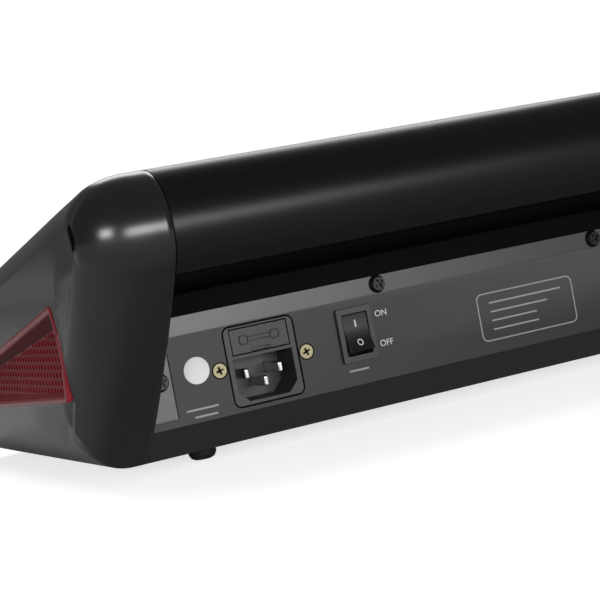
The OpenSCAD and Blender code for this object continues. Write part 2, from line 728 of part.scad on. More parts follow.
module standoffs() {
    color(bright_metal) in_body() {
        for (p = power_holes()) translate([p[0], p[1], sheet_t]) {
            cylinder(h = board_floor - sheet_t, d = standoff_d);
            cylinder(h = power_top + 1.5 - sheet_t, d = screw_d - slip);
            translate([0, 0, power_top - sheet_t]) cylinder(h = 1.8, d = 5.5);
        }
        for (p = light_holes()) translate([p[0], p[1], sheet_t]) {
            cylinder(h = backlight_floor - sheet_t, d = standoff_d);
            cylinder(h = backlight_floor + pcb_t + 1 - sheet_t, d = screw_d - slip);
            translate([0, 0, backlight_floor + pcb_t - sheet_t]) cylinder(h = 1.8, d = 5.5);
        }
    }
}

// ---------------------------------------------------------------- power inlet
inlet_back = wall_in - 26;
ear_w = ear_pitch + 9;
cavity_z = inlet_z - inlet_h / 2 + 1.3 + plug_h / 2;
drawer_h = 9.6;
drawer_w = plug_w - 1;
drawer_z = inlet_z + inlet_h / 2 - 1 - drawer_h / 2;
drawer_d = drawer_travel + 4;
pin_w = 2;
pin_h = 4;
earth_drop = 4;
line_z = cavity_z + 2;
blade_back = inlet_back - 8;
module plug_shape(g) {
    w = plug_w / 2 - g;
    h = plug_h / 2 - g;
    polygon([[-w, h], [w, h], [w, 4 - h], [w - 4, -h], [4 - w, -h], [-w, 4 - h]]);
}
module inlet_housing() {
    color([0.08, 0.08, 0.08]) in_body() difference() {
        union() {
            rear_cut(inlet_x, inlet_z, inlet_w, inlet_h, 2.3, inlet_back, panel_y);
            rear_cut(inlet_x, inlet_z, ear_w, inlet_h - 8, 4, wall_in - 3, wall_in);
            rear_cut(inlet_x, inlet_z, inlet_w + 6, inlet_h - 2, 3, wall_in - 3, wall_in);
        }
        translate([inlet_x, panel_y + 1, cavity_z]) rotate([90, 0, 0])
            linear_extrude(plug_depth + 1) plug_shape(0);
        block(inlet_x - drawer_w / 2 - fit, inlet_x + drawer_w / 2 + fit, panel_y - drawer_d - fit,
            panel_y + 1, drawer_z - drawer_h / 2 - fit, drawer_z + drawer_h / 2 + fit);
        contact_blades();
        ear_places() translate([0, 0, wall_in - 9]) cylinder(h = 12, d = screw_d + 2 * slip);
    }
}
module contact_blades() {
    for (sx = [-1, 1]) block(inlet_x + sx * pin_pitch / 2 - pin_w / 2,
        inlet_x + sx * pin_pitch / 2 + pin_w / 2, blade_back, panel_y - 1.5,
        line_z - pin_h / 2, line_z + pin_h / 2);
    block(inlet_x - pin_h / 2 + 1, inlet_x + pin_h / 2 - 1, blade_back, panel_y - 0.8,
        line_z - earth_drop - pin_h / 2, line_z - earth_drop + pin_h / 2);
}
module inlet_contacts() { color(bright_metal) in_body() contact_blades(); }
module inlet_screws() {
    color([0.8, 0.75, 0.55]) in_body() ear_places() difference() {
        union() {
            ear_seat(0);
            translate([0, 0, wall_in - 3 - 2.4]) cylinder(h = 2.4, d = 6, $fn = 6);
        }
        for (a = [0, 90]) rotate([0, 0, a + 20])
            translate([-1.6, -0.35, panel_y - 0.7]) cube([3.2, 0.7, 1]);
    }
}
module fuse_drawer() {
    color([0.1, 0.1, 0.1]) in_body() difference() {
        union() {
            block(inlet_x - drawer_w / 2, inlet_x + drawer_w / 2, panel_y - drawer_d, panel_y,
                drawer_z - drawer_h / 2, drawer_z + drawer_h / 2);
            block(inlet_x - 8, inlet_x + 8, panel_y - eps, panel_y + 0.5,
                drawer_z - 0.4, drawer_z + 0.4);
            for (sx = [-1, 1]) block(inlet_x + sx * 7 - 1.6, inlet_x + sx * 7 + 1.6,
                panel_y - eps, panel_y + 0.5, drawer_z - 1.6, drawer_z + 1.6);
        }
        for (y = fuse_ys) block(inlet_x - fuse_l / 2 - fit, inlet_x + fuse_l / 2 + fit,
            y - fuse_d / 2 - slip, y + fuse_d / 2 + slip, drawer_z - fuse_d / 2,
            drawer_z + drawer_h);
    }
}
fuse_l = 20;
fuse_d = 5.2;
fuse_ys = [panel_y - 7, panel_y - 16];
module fuses() {
    color([0.85, 0.85, 0.8]) in_body() for (y = fuse_ys)
        translate([inlet_x - fuse_l / 2, y, drawer_z]) rotate([0, 90, 0])
            cylinder(h = fuse_l, d = fuse_d);
}

// ---------------------------------------------------------------- switch
bezel_t = 1.8;
rocker_w = 10.4;
rocker_reach = 7.3;
pivot_y = panel_y + bezel_t - 2;
well_w = rocker_w + 2 * fit;
well_h = 2 * (rocker_reach * cos(rocker_tilt) + 3.4 * sin(rocker_tilt) + fit);
switch_back = wall_in - 15;
pivot_d = 2;
module switch_housing() {
    color([0.07, 0.07, 0.07]) in_body() difference() {
        union() {
            rear_cut(switch_x, switch_z, bezel_w, bezel_h, 0.8, panel_y, panel_y + bezel_t);
            rear_cut(switch_x, switch_z, switch_body_w, switch_body_h, 0.7, switch_back, panel_y);
        }
        rear_cut(switch_x, switch_z, well_w, well_h, 0.4, pivot_y - 8, panel_y + bezel_t + 1);
        translate([switch_x - switch_body_w / 2 - 1, pivot_y, switch_z]) rotate([0, 90, 0])
            cylinder(h = switch_body_w + 2, d = pivot_d + 2 * run);
        for (dz = [-4, 4]) block(switch_x - 2.4, switch_x + 2.4, switch_back - 1, pivot_y - 9,
            switch_z + dz - 0.4, switch_z + dz + 0.4);
    }
}
module switch_terminals() {
    color(bright_metal) in_body() for (dz = [-4, 4])
        block(switch_x - 2.4, switch_x + 2.4, switch_back - 7, pivot_y - 9,
            switch_z + dz - 0.4, switch_z + dz + 0.4);
}
module switch_rocker() {
    color([0.05, 0.05, 0.05]) in_body() translate([switch_x, pivot_y, switch_z])
        rotate([rocker_tilt, 0, 0]) {
            along_x(-rocker_w / 2, rocker_w) polygon([[-6, -4.5], [-6, 4.5], [0, rocker_reach],
                [3.4, rocker_reach], [2.4, rocker_reach * 0.5], [2, 0],
                [2.4, -rocker_reach * 0.5], [3.4, -rocker_reach], [0, -rocker_reach]]);
            rotate([0, 90, 0]) translate([0, 0, -switch_body_w / 2])
                cylinder(h = switch_body_w, d = pivot_d);
        }
}

// ---------------------------------------------------------------- leads
lead_d = 2.6;
module lead(points) {
    for (i = [0:len(points) - 2]) let (a = points[i], b = points[i + 1], v = b - a)
        translate(a) rotate([0, acos(v[2] / norm(v)), atan2(v[1], v[0])])
            cylinder(h = norm(v), d = lead_d, $fn = 24);
    for (i = [1:len(points) - 2]) translate(points[i]) sphere(d = lead_d + 0.3, $fn = 24);
}
module mains_leads() {
    loft = power_top + 18;
    y_run = power_y0 + 17;
    color([0.25, 0.15, 0.1]) in_body() {
        lead([[inlet_x - pin_pitch / 2, blade_back, line_z],
            [inlet_x - pin_pitch / 2, blade_back - 4, line_z],
            [switch_x, blade_back - 4, switch_z - 4], [switch_x, switch_back - 7, switch_z - 4]]);
        lead([[switch_x, switch_back - 7, switch_z + 4], [switch_x, switch_back - 12, switch_z + 4],
            [terminal_x + 2.5, y_run, loft + 8], [terminal_x + 2.5, y_run, power_top + 3]]);
        lead([[inlet_x + pin_pitch / 2, blade_back, line_z],
            [inlet_x + pin_pitch / 2, blade_back - 4, line_z],
            [inlet_x + pin_pitch / 2, blade_back - 4, line_z - 6],
            [terminal_x + 7.5, blade_back - 4, loft - 6], [terminal_x + 7.5, y_run, loft - 6],
            [terminal_x + 7.5, y_run, power_top + 3]]);
    }
}

// ---------------------------------------------------------------- fasteners and feet
module rear_screws() {
    color([0.06, 0.06, 0.06]) in_body() difference() {
        rear_screw_places() {
            translate([0, 0, wall_y]) cylinder(h = 2.2, d1 = rear_head_d, d2 = rear_head_d - 2);
            translate([0, 0, wall_in - 5]) cylinder(h = sheet_t + 5 + eps, d = rear_screw_d);
        }
        rear_screw_places() for (a = [0, 90]) rotate([0, 0, a + 30])
            translate([-1.9, -0.5, wall_y + 1.2]) cube([3.8, 1, 2]);
    }
}
module cheek_screws() {
    color(bright_metal) in_body() for (m = [0, 1]) mirror([m, 0, 0]) for (p = end_screws)
        translate([half_w - sheet_t, p[0], p[1]]) rotate([0, 90, 0]) {
            cylinder(h = 12, d = screw_d);
            translate([0, 0, -2]) cylinder(h = 2, d = 6);
        }
}
module base_screws() {
    color(bright_metal) in_body() base_places() {
        translate([0, 0, -1.8]) cylinder(h = 1.8, d = 6);
        cylinder(h = 9, d = screw_d);
    }
}
module rubber_feet() {
    color([0.05, 0.05, 0.05]) in_body() foot_places() {
        rotate_extrude() polygon([[0, -foot_h], [foot_d * 0.3, -foot_h],
            [foot_d * 0.42, 0.6 - foot_h], [foot_d * 0.5, 2.2 - foot_h], [foot_d * 0.5, 0], [0, 0]]);
        translate([0, 0, -eps]) cylinder(h = sheet_t + foot_keep, d = foot_peg_d);
    }
}
module sticker() {
    color("white") in_body() facing_rear(half_w - 20.7, panel_y, 31.2)
        cylinder(h = 0.2, d = sticker_d);
}

// ---------------------------------------------------------------- controls on the deck
key_y = -2;
lamp_row_y = 9.5;
board_z = -10;
key_hole = key_d + 0.6;
pillar_x = key_hole_w / 2 - 4.5;
module keypad_bezel() {
    color(moulded) on_deck(0, keys_s) difference() {
        union() {
            linear_extrude(1.6) round_rect(keys_w, keys_d, 5);
            for (sx = [-1, 1], sy = [-1, 1]) translate([sx * pillar_x, sy * 8, board_z + pcb_t])
                cylinder(h = -board_z - pcb_t + eps, d = 5);
        }
        for (i = [-1:1]) {
            translate([i * key_pitch, key_y, -1]) cylinder(h = 4, d = key_hole);
            translate([i * key_pitch, lamp_row_y, -1]) cylinder(h = 4, d = 3 + 2 * slip);
        }
    }
}
module control_board() {
    color(board_green) on_deck(0, keys_s) translate([-key_hole_w / 2, -12, board_z])
        cube([key_hole_w, 24, pcb_t]);
}
actuator_top = -4.4;
module key_switches() {
    color([0.2, 0.2, 0.2]) on_deck(0, keys_s) for (i = [-1:1])
        translate([i * key_pitch, key_y, board_z + pcb_t]) {
            translate([-3, -3, 0]) cube([6, 6, 3]);
            cylinder(h = actuator_top - board_z - pcb_t, d = 3.4);
        }
}
module indicator_lights() {
    color([0.6, 0.9, 0.6]) on_deck(0, keys_s) for (i = [-1:1])
        translate([i * key_pitch, lamp_row_y, board_z + pcb_t])
            cylinder(h = 1.9 - board_z - pcb_t, d = 3);
}
module buzzer() {
    color([0.05, 0.05, 0.05]) on_deck(-key_pitch * 1.4, keys_s) translate([0, 0, board_z - 8])
        difference() {
            cylinder(h = 8, d = 12);
            translate([0, 0, -1]) cylinder(h = 3, d = 2.5);
        }
}
// One key: cap, keeper flange under the panel and a short stem over its switch
module button(i, tint) {
    color(tint) on_deck(i * key_pitch, keys_s) translate([0, key_y, 0]) {
        translate([0, 0, -fit - 1.2]) cylinder(h = 1.2, d = key_d + 2.2);
        translate([0, 0, -fit - eps]) cylinder(h = 3.2 + fit, d = key_d);
        translate([0, 0, 3.2 - 2 * eps]) cylinder(h = 0.6, d1 = key_d, d2 = key_d - 1.2);
        translate([0, 0, actuator_top + key_travel + 0.3])
            cylinder(h = -actuator_top - key_travel - fit - 1, d = 5);
    }
}
module button_uv() { button(-1, [0.35, 0.35, 0.5]); }
module button_white() { button(0, [0.7, 0.7, 0.7]); }
module button_magnet() { button(1, [0.5, 0.2, 0.2]); }
module magnetic_head() {
    color([0.55, 0.5, 0.4]) on_deck(head_x, keys_s) difference() {
        union() {
            translate([0, 0, -9]) linear_extrude(11) round_rect(head_w, head_d, 1.9);
            translate([-head_w / 2 - 5, -head_d / 2, -cover_t - 1.5])
                cube([head_w + 10, head_d, 1.5]);
        }
        translate([-head_w / 2 + 3, -0.3, 1]) cube([head_w - 6, 0.6, 2]);
    }
}
shaft_d = 6;
module potentiometer() {
    color([0.4, 0.4, 0.42]) on_deck(knob_x, keys_s) difference() {
        union() {
            translate([0, 0, -cover_t - 8]) cylinder(h = 8, d = 16);
            translate([0, 0, -cover_t - eps]) cylinder(h = cover_t + 0.8, d = bush_d);
        }
        translate([0, 0, -cover_t - 5]) cylinder(h = cover_t + 8, d = shaft_d + 2 * run);
    }
}
module knob_shaft() {
    color(bright_metal) on_deck(knob_x, keys_s) translate([0, 0, -cover_t - 4.7])
        cylinder(h = cover_t + 4.7 + knob_h - 2, d = shaft_d);
}
module sensitivity_knob() {
    color(moulded) on_deck(knob_x, keys_s) difference() {
        translate([0, 0, 1.3]) cylinder(h = knob_h, d1 = knob_d, d2 = knob_d - 2);
        translate([0, 0, 0]) cylinder(h = knob_h - 2 + slip, d = shaft_d + slip);
        translate([-0.5, knob_d / 2 - 7, knob_h + 0.8]) cube([1, 8, 2]);
        for (i = [0:11]) rotate([0, 0, 30 * i + 15]) translate([0, knob_d / 2 + 0.4, 3])
            cylinder(h = knob_h, d = 2.4, $fn = 16);
    }
}

bottom_pan();
rear_panel();
top_cover();
rear_soffit();
cheek_right();
cheek_left();
vent_right();
vent_left();
side_plate_right();
side_plate_left();
front_fascia();
bay_partition();
bed_frame();
bed_diffuser();
backlight_board();
backlight_leds();
uv_tubes();
tube_caps();
lamp_holders();
reflector();
window_pane();
window_frame();
power_board();
transformer();
capacitors();
terminal_block();
standoffs();
mains_leads();
inlet_housing();
inlet_contacts();
inlet_screws();
switch_housing();
switch_terminals();
rear_screws();
cheek_screws();
base_screws();
rubber_feet();
sticker();
keypad_bezel();
control_board();
key_switches();
indicator_lights();
buzzer();
magnetic_head();
potentiometer();
rail_brackets();
magnifier_rail();
switch_rocker();
fuse_drawer();
fuses();
button_uv();
button_white();
button_magnet();
sensitivity_knob();
knob_shaft();
magnifier_carriage();
magnifier_lens();
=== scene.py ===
"""Looks of a desk-top banknote checker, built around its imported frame.

Lengths here are millimetres in the "body frame": X across, Y to the rear, Z up, with the origin
at the rear lower edge of the steel pan. BODY turns them into the frame's own metres.
"""

import json
import math

import bmesh
import bpy
import numpy as np
from mathutils import Matrix, Vector

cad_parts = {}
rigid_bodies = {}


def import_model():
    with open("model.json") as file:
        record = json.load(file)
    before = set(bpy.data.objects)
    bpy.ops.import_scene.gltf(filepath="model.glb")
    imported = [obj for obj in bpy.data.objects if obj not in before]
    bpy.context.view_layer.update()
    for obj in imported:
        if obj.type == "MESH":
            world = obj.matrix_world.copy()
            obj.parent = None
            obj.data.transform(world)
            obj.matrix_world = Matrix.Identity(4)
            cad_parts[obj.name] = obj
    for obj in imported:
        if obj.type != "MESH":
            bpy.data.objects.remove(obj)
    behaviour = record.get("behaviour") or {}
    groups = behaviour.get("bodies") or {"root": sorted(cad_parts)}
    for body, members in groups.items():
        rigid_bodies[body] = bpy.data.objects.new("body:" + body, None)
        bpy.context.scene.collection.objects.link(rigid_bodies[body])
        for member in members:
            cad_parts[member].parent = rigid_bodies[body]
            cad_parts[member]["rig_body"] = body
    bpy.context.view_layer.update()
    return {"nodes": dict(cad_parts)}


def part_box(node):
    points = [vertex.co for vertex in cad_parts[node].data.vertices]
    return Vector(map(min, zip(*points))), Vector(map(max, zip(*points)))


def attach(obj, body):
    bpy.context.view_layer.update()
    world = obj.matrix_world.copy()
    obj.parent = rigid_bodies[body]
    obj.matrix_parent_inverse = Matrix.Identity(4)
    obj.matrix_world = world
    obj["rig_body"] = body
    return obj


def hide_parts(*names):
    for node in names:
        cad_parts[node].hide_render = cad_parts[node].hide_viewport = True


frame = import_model()
nodes = frame["nodes"]

# ---------------------------------------------------------------- sizes
MM = 0.001


def mm_box(node):
    """Lowest and highest corner of a CAD node, in the frame's axes and millimetres."""
    low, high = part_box(node)
    return low / MM, high / MM


BAND_H = 12.0                                   # height of the slanted rear band
FOOT_H = mm_box("bottom_pan")[0].z              # the pan stands this high on its feet
EDGE_Y = mm_box("bottom_pan")[1].y - BAND_H
HALF_W = mm_box("top_cover")[1].x
CHEEK_T = mm_box("cheek_right")[1].x - HALF_W
PANEL_Y = mm_box("rear_panel")[1].y - EDGE_Y
BODY_H = mm_box("top_cover")[1].z - FOOT_H
FRONT_Y = mm_box("top_cover")[0].y - EDGE_Y
DECK = math.radians(8.8)                        # fall of the deck towards the front
REAR_SLOPE = math.radians(45)                   # slant of the cheek's rear face
ROLL_R = 21.0                                   # roll along the upper rear edge
ROLL_Z = BODY_H - ROLL_R
ROLL_Y = (ROLL_Z * math.cos(REAR_SLOPE) - ROLL_R) / math.sin(REAR_SLOPE)
DECK_Y = ROLL_Y - ROLL_R * math.sin(DECK)
DECK_Z = ROLL_Z + ROLL_R * math.cos(DECK)
NOSE_R = 14.0                                   # rounding of the upper front edge
TOE_R = 5.2                                     # rounding of the lower front edge

BODY = Matrix.Translation((0, EDGE_Y * MM, FOOT_H * MM)) @ Matrix.Scale(MM, 4)
FACING_REAR = Matrix(((-1, 0, 0, 0), (0, 0, 1, 0), (0, 1, 0, 0), (0, 0, 0, 1)))


def rear_face(x, z, y=PANEL_Y):
    """Frame on a rear face: local x to the right as seen from behind, y up, z out."""
    return BODY @ Matrix.Translation((x, y, z)) @ FACING_REAR


def on_deck(x, s, z=0.0):
    """Frame on the deck, s down the slope from the roll: local y up the slope, z out."""
    return (BODY @ Matrix.Translation((x, DECK_Y, DECK_Z)) @ Matrix.Rotation(DECK, 4, "X")
            @ Matrix.Translation((0, -s, z)))


def deck_at(y):
    """Height of the deck's plane at y."""
    return DECK_Z - (DECK_Y - y) * math.tan(DECK)


# ---------------------------------------------------------------- camera, stage and lamps
# The camera is solved from the vanishing points of the photograph.
CAMERA_AT = Vector((0.35285, 0.6913, 0.0842))
CAMERA_RIGHT = Vector((-0.89698, 0.40083, -0.18647)).normalized()
CAMERA_BACK = Vector((0.39977, 0.91551, 0.04494)).normalized()
LENS, SENSOR_W = 105.36, 36.0
LAMP_AIM = Vector((0.05, 0.05, 0.06))
WORLD_LEVEL = 0.16
FLOOR_LIFT = 0.72           # what makes the pale floor white, and keeps the shadow on it
FLOOR_HALF = 3.0
FLOOR_DROP = 0.0002         # keeps the floor clear of the feet


def add_camera():
    up = CAMERA_BACK.cross(CAMERA_RIGHT).normalized()
    right = up.cross(CAMERA_BACK)
    turn = Matrix((right, up, CAMERA_BACK)).transposed().to_4x4()
    data = bpy.data.cameras.new("photo_camera")
    data.lens, data.sensor_width, data.clip_start = LENS, SENSOR_W, 0.01
    camera = bpy.data.objects.new("photo_camera", data)
    camera.matrix_world = Matrix.Translation(CAMERA_AT) @ turn
    bpy.context.scene.collection.objects.link(camera)
    bpy.context.scene.camera = camera


def seen_strength(tree, unseen, seen):
    """A light strength: the value seen for camera rays, and unseen for all others."""
    path = tree.nodes.new("ShaderNodeLightPath")
    level = tree.nodes.new("ShaderNodeMapRange")
    level.inputs["To Min"].default_value = unseen
    level.inputs["To Max"].default_value = seen
    tree.links.new(path.outputs["Is Camera Ray"], level.inputs["Value"])
    return level.outputs["Result"]


def add_stage():
    world = bpy.data.worlds.new("studio")
    bpy.context.scene.world = world
    world.use_nodes = True
    tree = world.node_tree
    background = tree.nodes["Background"]
    background.inputs["Color"].default_value = (1, 1, 1, 1)
    tree.links.new(seen_strength(tree, WORLD_LEVEL, 1.0), background.inputs["Strength"])

    mesh = bpy.data.meshes.new("floor")
    mesh.from_pydata([(x * FLOOR_HALF, y * FLOOR_HALF, 0)
                      for x, y in ((-1, -1), (1, -1), (1, 1), (-1, 1))], [], [(0, 1, 2, 3)])
    floor = bpy.data.objects.new("floor", mesh)
    floor.location.z = -FLOOR_DROP
    bpy.context.scene.collection.objects.link(floor)
    material = bpy.data.materials.new("floor_paper")
    material.use_nodes = True
    tree = material.node_tree
    shader = tree.nodes["Principled BSDF"]
    shader.inputs["Base Color"].default_value = (0.85, 0.85, 0.85, 1)
    shader.inputs["Roughness"].default_value = 0.9
    shader.inputs["Specular IOR Level"].default_value = 0.1
    shader.inputs["Emission Color"].default_value = (1, 1, 1, 1)
    tree.links.new(seen_strength(tree, 0.0, FLOOR_LIFT), shader.inputs["Emission Strength"])
    mesh.materials.append(material)


def add_lamp(name, azimuth, elevation, distance, width, height, radiance):
    """A soft box aimed at the object, in metres. Azimuth turns from +Y, the rear, towards +X."""
    a, e = math.radians(azimuth), math.radians(elevation)
    way = Vector((math.sin(a) * math.cos(e), math.cos(a) * math.cos(e), math.sin(e)))
    data = bpy.data.lights.new(name, "AREA")
    data.shape, data.size, data.size_y = "RECTANGLE", width, height
    data.energy = radiance * math.pi * width * height
    lamp = bpy.data.objects.new(name, data)
    lamp.location = LAMP_AIM + way * distance
    lamp.rotation_euler = way.to_track_quat("Z", "Y").to_euler()
    lamp.visible_camera = False
    bpy.context.scene.collection.objects.link(lamp)
    return lamp


add_camera()
add_stage()
add_lamp("key_behind", -4, 4, 2.2, 1.42, 0.56, 11.0)
add_lamp("side_behind", 39.5, 10, 2.2, 0.62, 0.50, 15.0)
add_lamp("overhead", 150, 68, 2.2, 1.4, 1.4, 2.2).visible_glossy = False
add_lamp("front_soft", 205, 32, 2.4, 1.3, 0.9, 2.8)


# ---------------------------------------------------------------- materials
SHADE_SCALE = 38.0          # soft changes of shade, per metre
COAT_ROUGH = 0.08


def tone(r, g, b):
    """Screen colour, 0 to 255, in linear light."""
    def linear(v):
        v /= 255
        return v / 12.92 if v <= 0.04045 else ((v + 0.055) / 1.055) ** 2.4
    return (linear(r), linear(g), linear(b), 1.0)


def surface(name, colour, rough, *, metal=0.0, specular=0.5, grain=0.0, grain_mm=0.5,
            variation=0.12, rough_spread=0.06, stretch=(1, 1, 1), coat=0.0, through=0.0,
            ior=1.5, glow=0.0):
    """Material with a fine grain, soft changes of shade and a roughness that isn't even."""
    material = bpy.data.materials.new(name)
    material.use_nodes = True
    tree = material.node_tree
    add, link = tree.nodes.new, tree.links.new
    shader = tree.nodes["Principled BSDF"]
    shader.inputs["Metallic"].default_value = metal
    shader.inputs["Specular IOR Level"].default_value = specular
    shader.inputs["IOR"].default_value = ior
    shader.inputs["Coat Weight"].default_value = coat
    shader.inputs["Coat Roughness"].default_value = COAT_ROUGH
    shader.inputs["Transmission Weight"].default_value = through
    if glow:
        shader.inputs["Emission Color"].default_value = colour
        shader.inputs["Emission Strength"].default_value = glow
    place = add("ShaderNodeTexCoord")
    scale = add("ShaderNodeMapping")
    scale.inputs["Scale"].default_value = stretch
    link(place.outputs["Object"], scale.inputs["Vector"])

    shade = add("ShaderNodeTexNoise")
    shade.inputs["Scale"].default_value = SHADE_SCALE
    shade.inputs["Detail"].default_value = 5.0
    link(scale.outputs["Vector"], shade.inputs["Vector"])
    mix = add("ShaderNodeMix")
    mix.data_type = "RGBA"
    dark = tuple(c * (1 - variation) for c in colour[:3]) + (1,)
    light = tuple(min(1, c * (1 + variation)) for c in colour[:3]) + (1,)
    mix.inputs["A"].default_value = dark
    mix.inputs["B"].default_value = light
    link(shade.outputs["Fac"], mix.inputs["Factor"])
    link(mix.outputs["Result"], shader.inputs["Base Color"])

    gloss = add("ShaderNodeMapRange")
    gloss.inputs["To Min"].default_value = rough - rough_spread
    gloss.inputs["To Max"].default_value = rough + rough_spread
    link(shade.outputs["Fac"], gloss.inputs["Value"])
    link(gloss.outputs["Result"], shader.inputs["Roughness"])

    if grain:
        fine = add("ShaderNodeTexNoise")
        fine.inputs["Scale"].default_value = 1 / (grain_mm * MM)
        fine.inputs["Detail"].default_value = 3.0
        link(scale.outputs["Vector"], fine.inputs["Vector"])
        bump = add("ShaderNodeBump")
        bump.inputs["Strength"].default_value = 1.0
        bump.inputs["Distance"].default_value = grain * MM
        link(fine.outputs["Fac"], bump.inputs["Height"])
        link(bump.outputs["Normal"], shader.inputs["Normal"])
    return material


PAINT = surface("satin_black_paint", tone(9, 9, 10), 0.31, specular=0.28, grain=0.004,
                grain_mm=0.9, rough_spread=0.03)
TEXTURED = surface("textured_black_paint", tone(20, 19, 22), 0.36, specular=1.0, grain=0.02,
                   grain_mm=0.4)
PANEL = surface("smooth_black_panel", tone(29, 27, 30), 0.46, specular=0.52, grain=0.003,
                grain_mm=0.7, rough_spread=0.03)
# Near-black painted shade: stands in for the shade in recesses, gaps, pockets and hole bottoms.
SHADE_BLACK = surface("painted_shade_black", tone(5, 5, 6), 0.6, specular=0.05, grain=0.02,
                 grain_mm=0.6)
MOULDED = surface("moulded_black", tone(18, 16, 20), 0.235, specular=0.62, grain=0.004,
                  grain_mm=0.7, rough_spread=0.03)
RED = surface("glossy_dark_red", tone(110, 12, 24), 0.32, specular=0.12, grain=0.004,
              grain_mm=1.2, variation=0.1)
# Darker red for the insert's sloping walls under its rim: painted shade of the recess, on the same
# red plastic as the sheet.
WALL_SHADE_RED = surface("painted_shade_red", tone(70, 6, 14), 0.5, specular=0.05, grain=0.004,
                   grain_mm=1.2, variation=0.1)
RIM_RED = surface("glossy_red_rim", tone(124, 25, 35), 0.28, specular=0.4, grain=0.004,
                  grain_mm=1.2, variation=0.08)
BLACK_PART = surface("black_nylon", tone(20, 20, 22), 0.4, specular=0.4, grain=0.01,
                     grain_mm=0.4)
FRAME_BLACK = surface("grained_black_nylon", tone(30, 30, 32), 0.48, specular=0.7, grain=0.02,
                      grain_mm=0.35)
DARK_FASTENER = surface("blackened_steel", tone(26, 26, 28), 0.3, metal=0.3, specular=0.5,
                        grain=0.004, grain_mm=0.4)
YELLOW_METAL = surface("yellow_zinc", tone(160, 152, 120), 0.5, metal=0.85, grain=0.02,
                       grain_mm=0.4)
BRIGHT = surface("nickel_plate", tone(205, 205, 205), 0.2, metal=1.0, grain=0.004,
                 grain_mm=0.5)
BRUSHED = surface("brushed_steel", tone(170, 171, 174), 0.3, metal=1.0, grain=0.008,
                  grain_mm=0.35, stretch=(0.08, 1, 1))
GREY_STEEL = surface("galvanised_steel", tone(128, 130, 132), 0.42, metal=0.8, grain=0.01,
                     grain_mm=1.5, variation=0.25)
WHITE = surface("white_plastic", tone(226, 226, 222), 0.42, grain=0.006, grain_mm=0.6,
                variation=0.03)
OPAL = surface("opal_acrylic", tone(232, 233, 236), 0.25, grain=0.002, variation=0.02)
RUBBER = surface("black_rubber", tone(24, 24, 24), 0.68, specular=0.3, grain=0.03,
                 grain_mm=0.5)
PAPER = surface("white_label", tone(238, 238, 238), 0.5, grain=0.004, grain_mm=0.3,
                variation=0.02)
SOFT_INK = surface("grey_ink", tone(150, 150, 152), 0.55, grain=0.004, grain_mm=0.2,
                   variation=0.05)
INK = surface("white_ink", tone(206, 206, 206), 0.55, grain=0.004, grain_mm=0.2,
              variation=0.05)
BOARD = surface("green_board", tone(24, 84, 52), 0.35, grain=0.01, grain_mm=0.8)
YELLOW_TAPE = surface("yellow_tape", tone(196, 160, 60), 0.4, grain=0.01, grain_mm=1.0)
BLUE_SLEEVE = surface("dark_blue_sleeve", tone(26, 34, 66), 0.3, grain=0.004)
GREEN_PART = surface("green_nylon", tone(30, 110, 70), 0.4, grain=0.01)
LEAD = surface("brown_sleeve", tone(80, 48, 34), 0.4, grain=0.008)
TUBE = surface("violet_glass", tone(72, 58, 130), 0.12, specular=0.6, coat=0.5, grain=0.001)
TINTED = surface("tinted_glass", tone(96, 70, 120), 0.05, through=0.75, ior=1.45, grain=0.0)
LENS_GLASS = surface("clear_lens", tone(236, 244, 246), 0.03, through=1.0, ior=1.49, grain=0.0,
                     rough_spread=0.01)
LIGHT_GREEN = surface("green_lens", tone(120, 205, 130), 0.2, through=0.3, grain=0.001)
LED_RESIN = surface("led_resin", tone(240, 226, 150), 0.3, grain=0.001)
KEY_VIOLET = surface("violet_key", tone(92, 84, 130), 0.42, grain=0.012, grain_mm=0.5)
KEY_GREY = surface("grey_key", tone(176, 176, 178), 0.42, grain=0.012, grain_mm=0.5)
KEY_RED = surface("red_key", tone(138, 44, 46), 0.42, grain=0.012, grain_mm=0.5)
BRONZE = surface("head_metal", tone(150, 138, 116), 0.28, metal=0.9, grain=0.006,
                 stretch=(0.1, 1, 1))


# ---------------------------------------------------------------- mesh tools
def finish_piece(name, bm, place, material, body="housing", stands_for=(),
                 crease=32):
    """Turns a bmesh in local millimetres into a piece that rides on a body."""
    bmesh.ops.transform(bm, matrix=place, verts=bm.verts)
    bmesh.ops.recalc_face_normals(bm, faces=bm.faces)
    mesh = bpy.data.meshes.new(name)
    bm.to_mesh(mesh)
    bm.free()
    mesh.materials.append(material)
    mesh.shade_smooth()
    mesh.set_sharp_from_angle(angle=math.radians(crease))
    piece = bpy.data.objects.new(name, mesh)
    bpy.context.scene.collection.objects.link(piece)
    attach(piece, body)
    if stands_for:
        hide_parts(*stands_for)


def loft(bm, rings, closed=False):
    """Skins rings of equal length: closed joins the last to the first, else both are capped."""
    rows = [[bm.verts.new(p) for p in ring] for ring in rings]
    count = len(rows[0])
    pairs = list(zip(rows, rows[1:])) + ([(rows[-1], rows[0])] if closed else [])
    for low, high in pairs:
        for i in range(count):
            j = (i + 1) % count
            bm.faces.new((low[i], low[j], high[j], high[i]))
    if not closed:
        bm.faces.new(list(reversed(rows[0])))
        bm.faces.new(rows[-1])


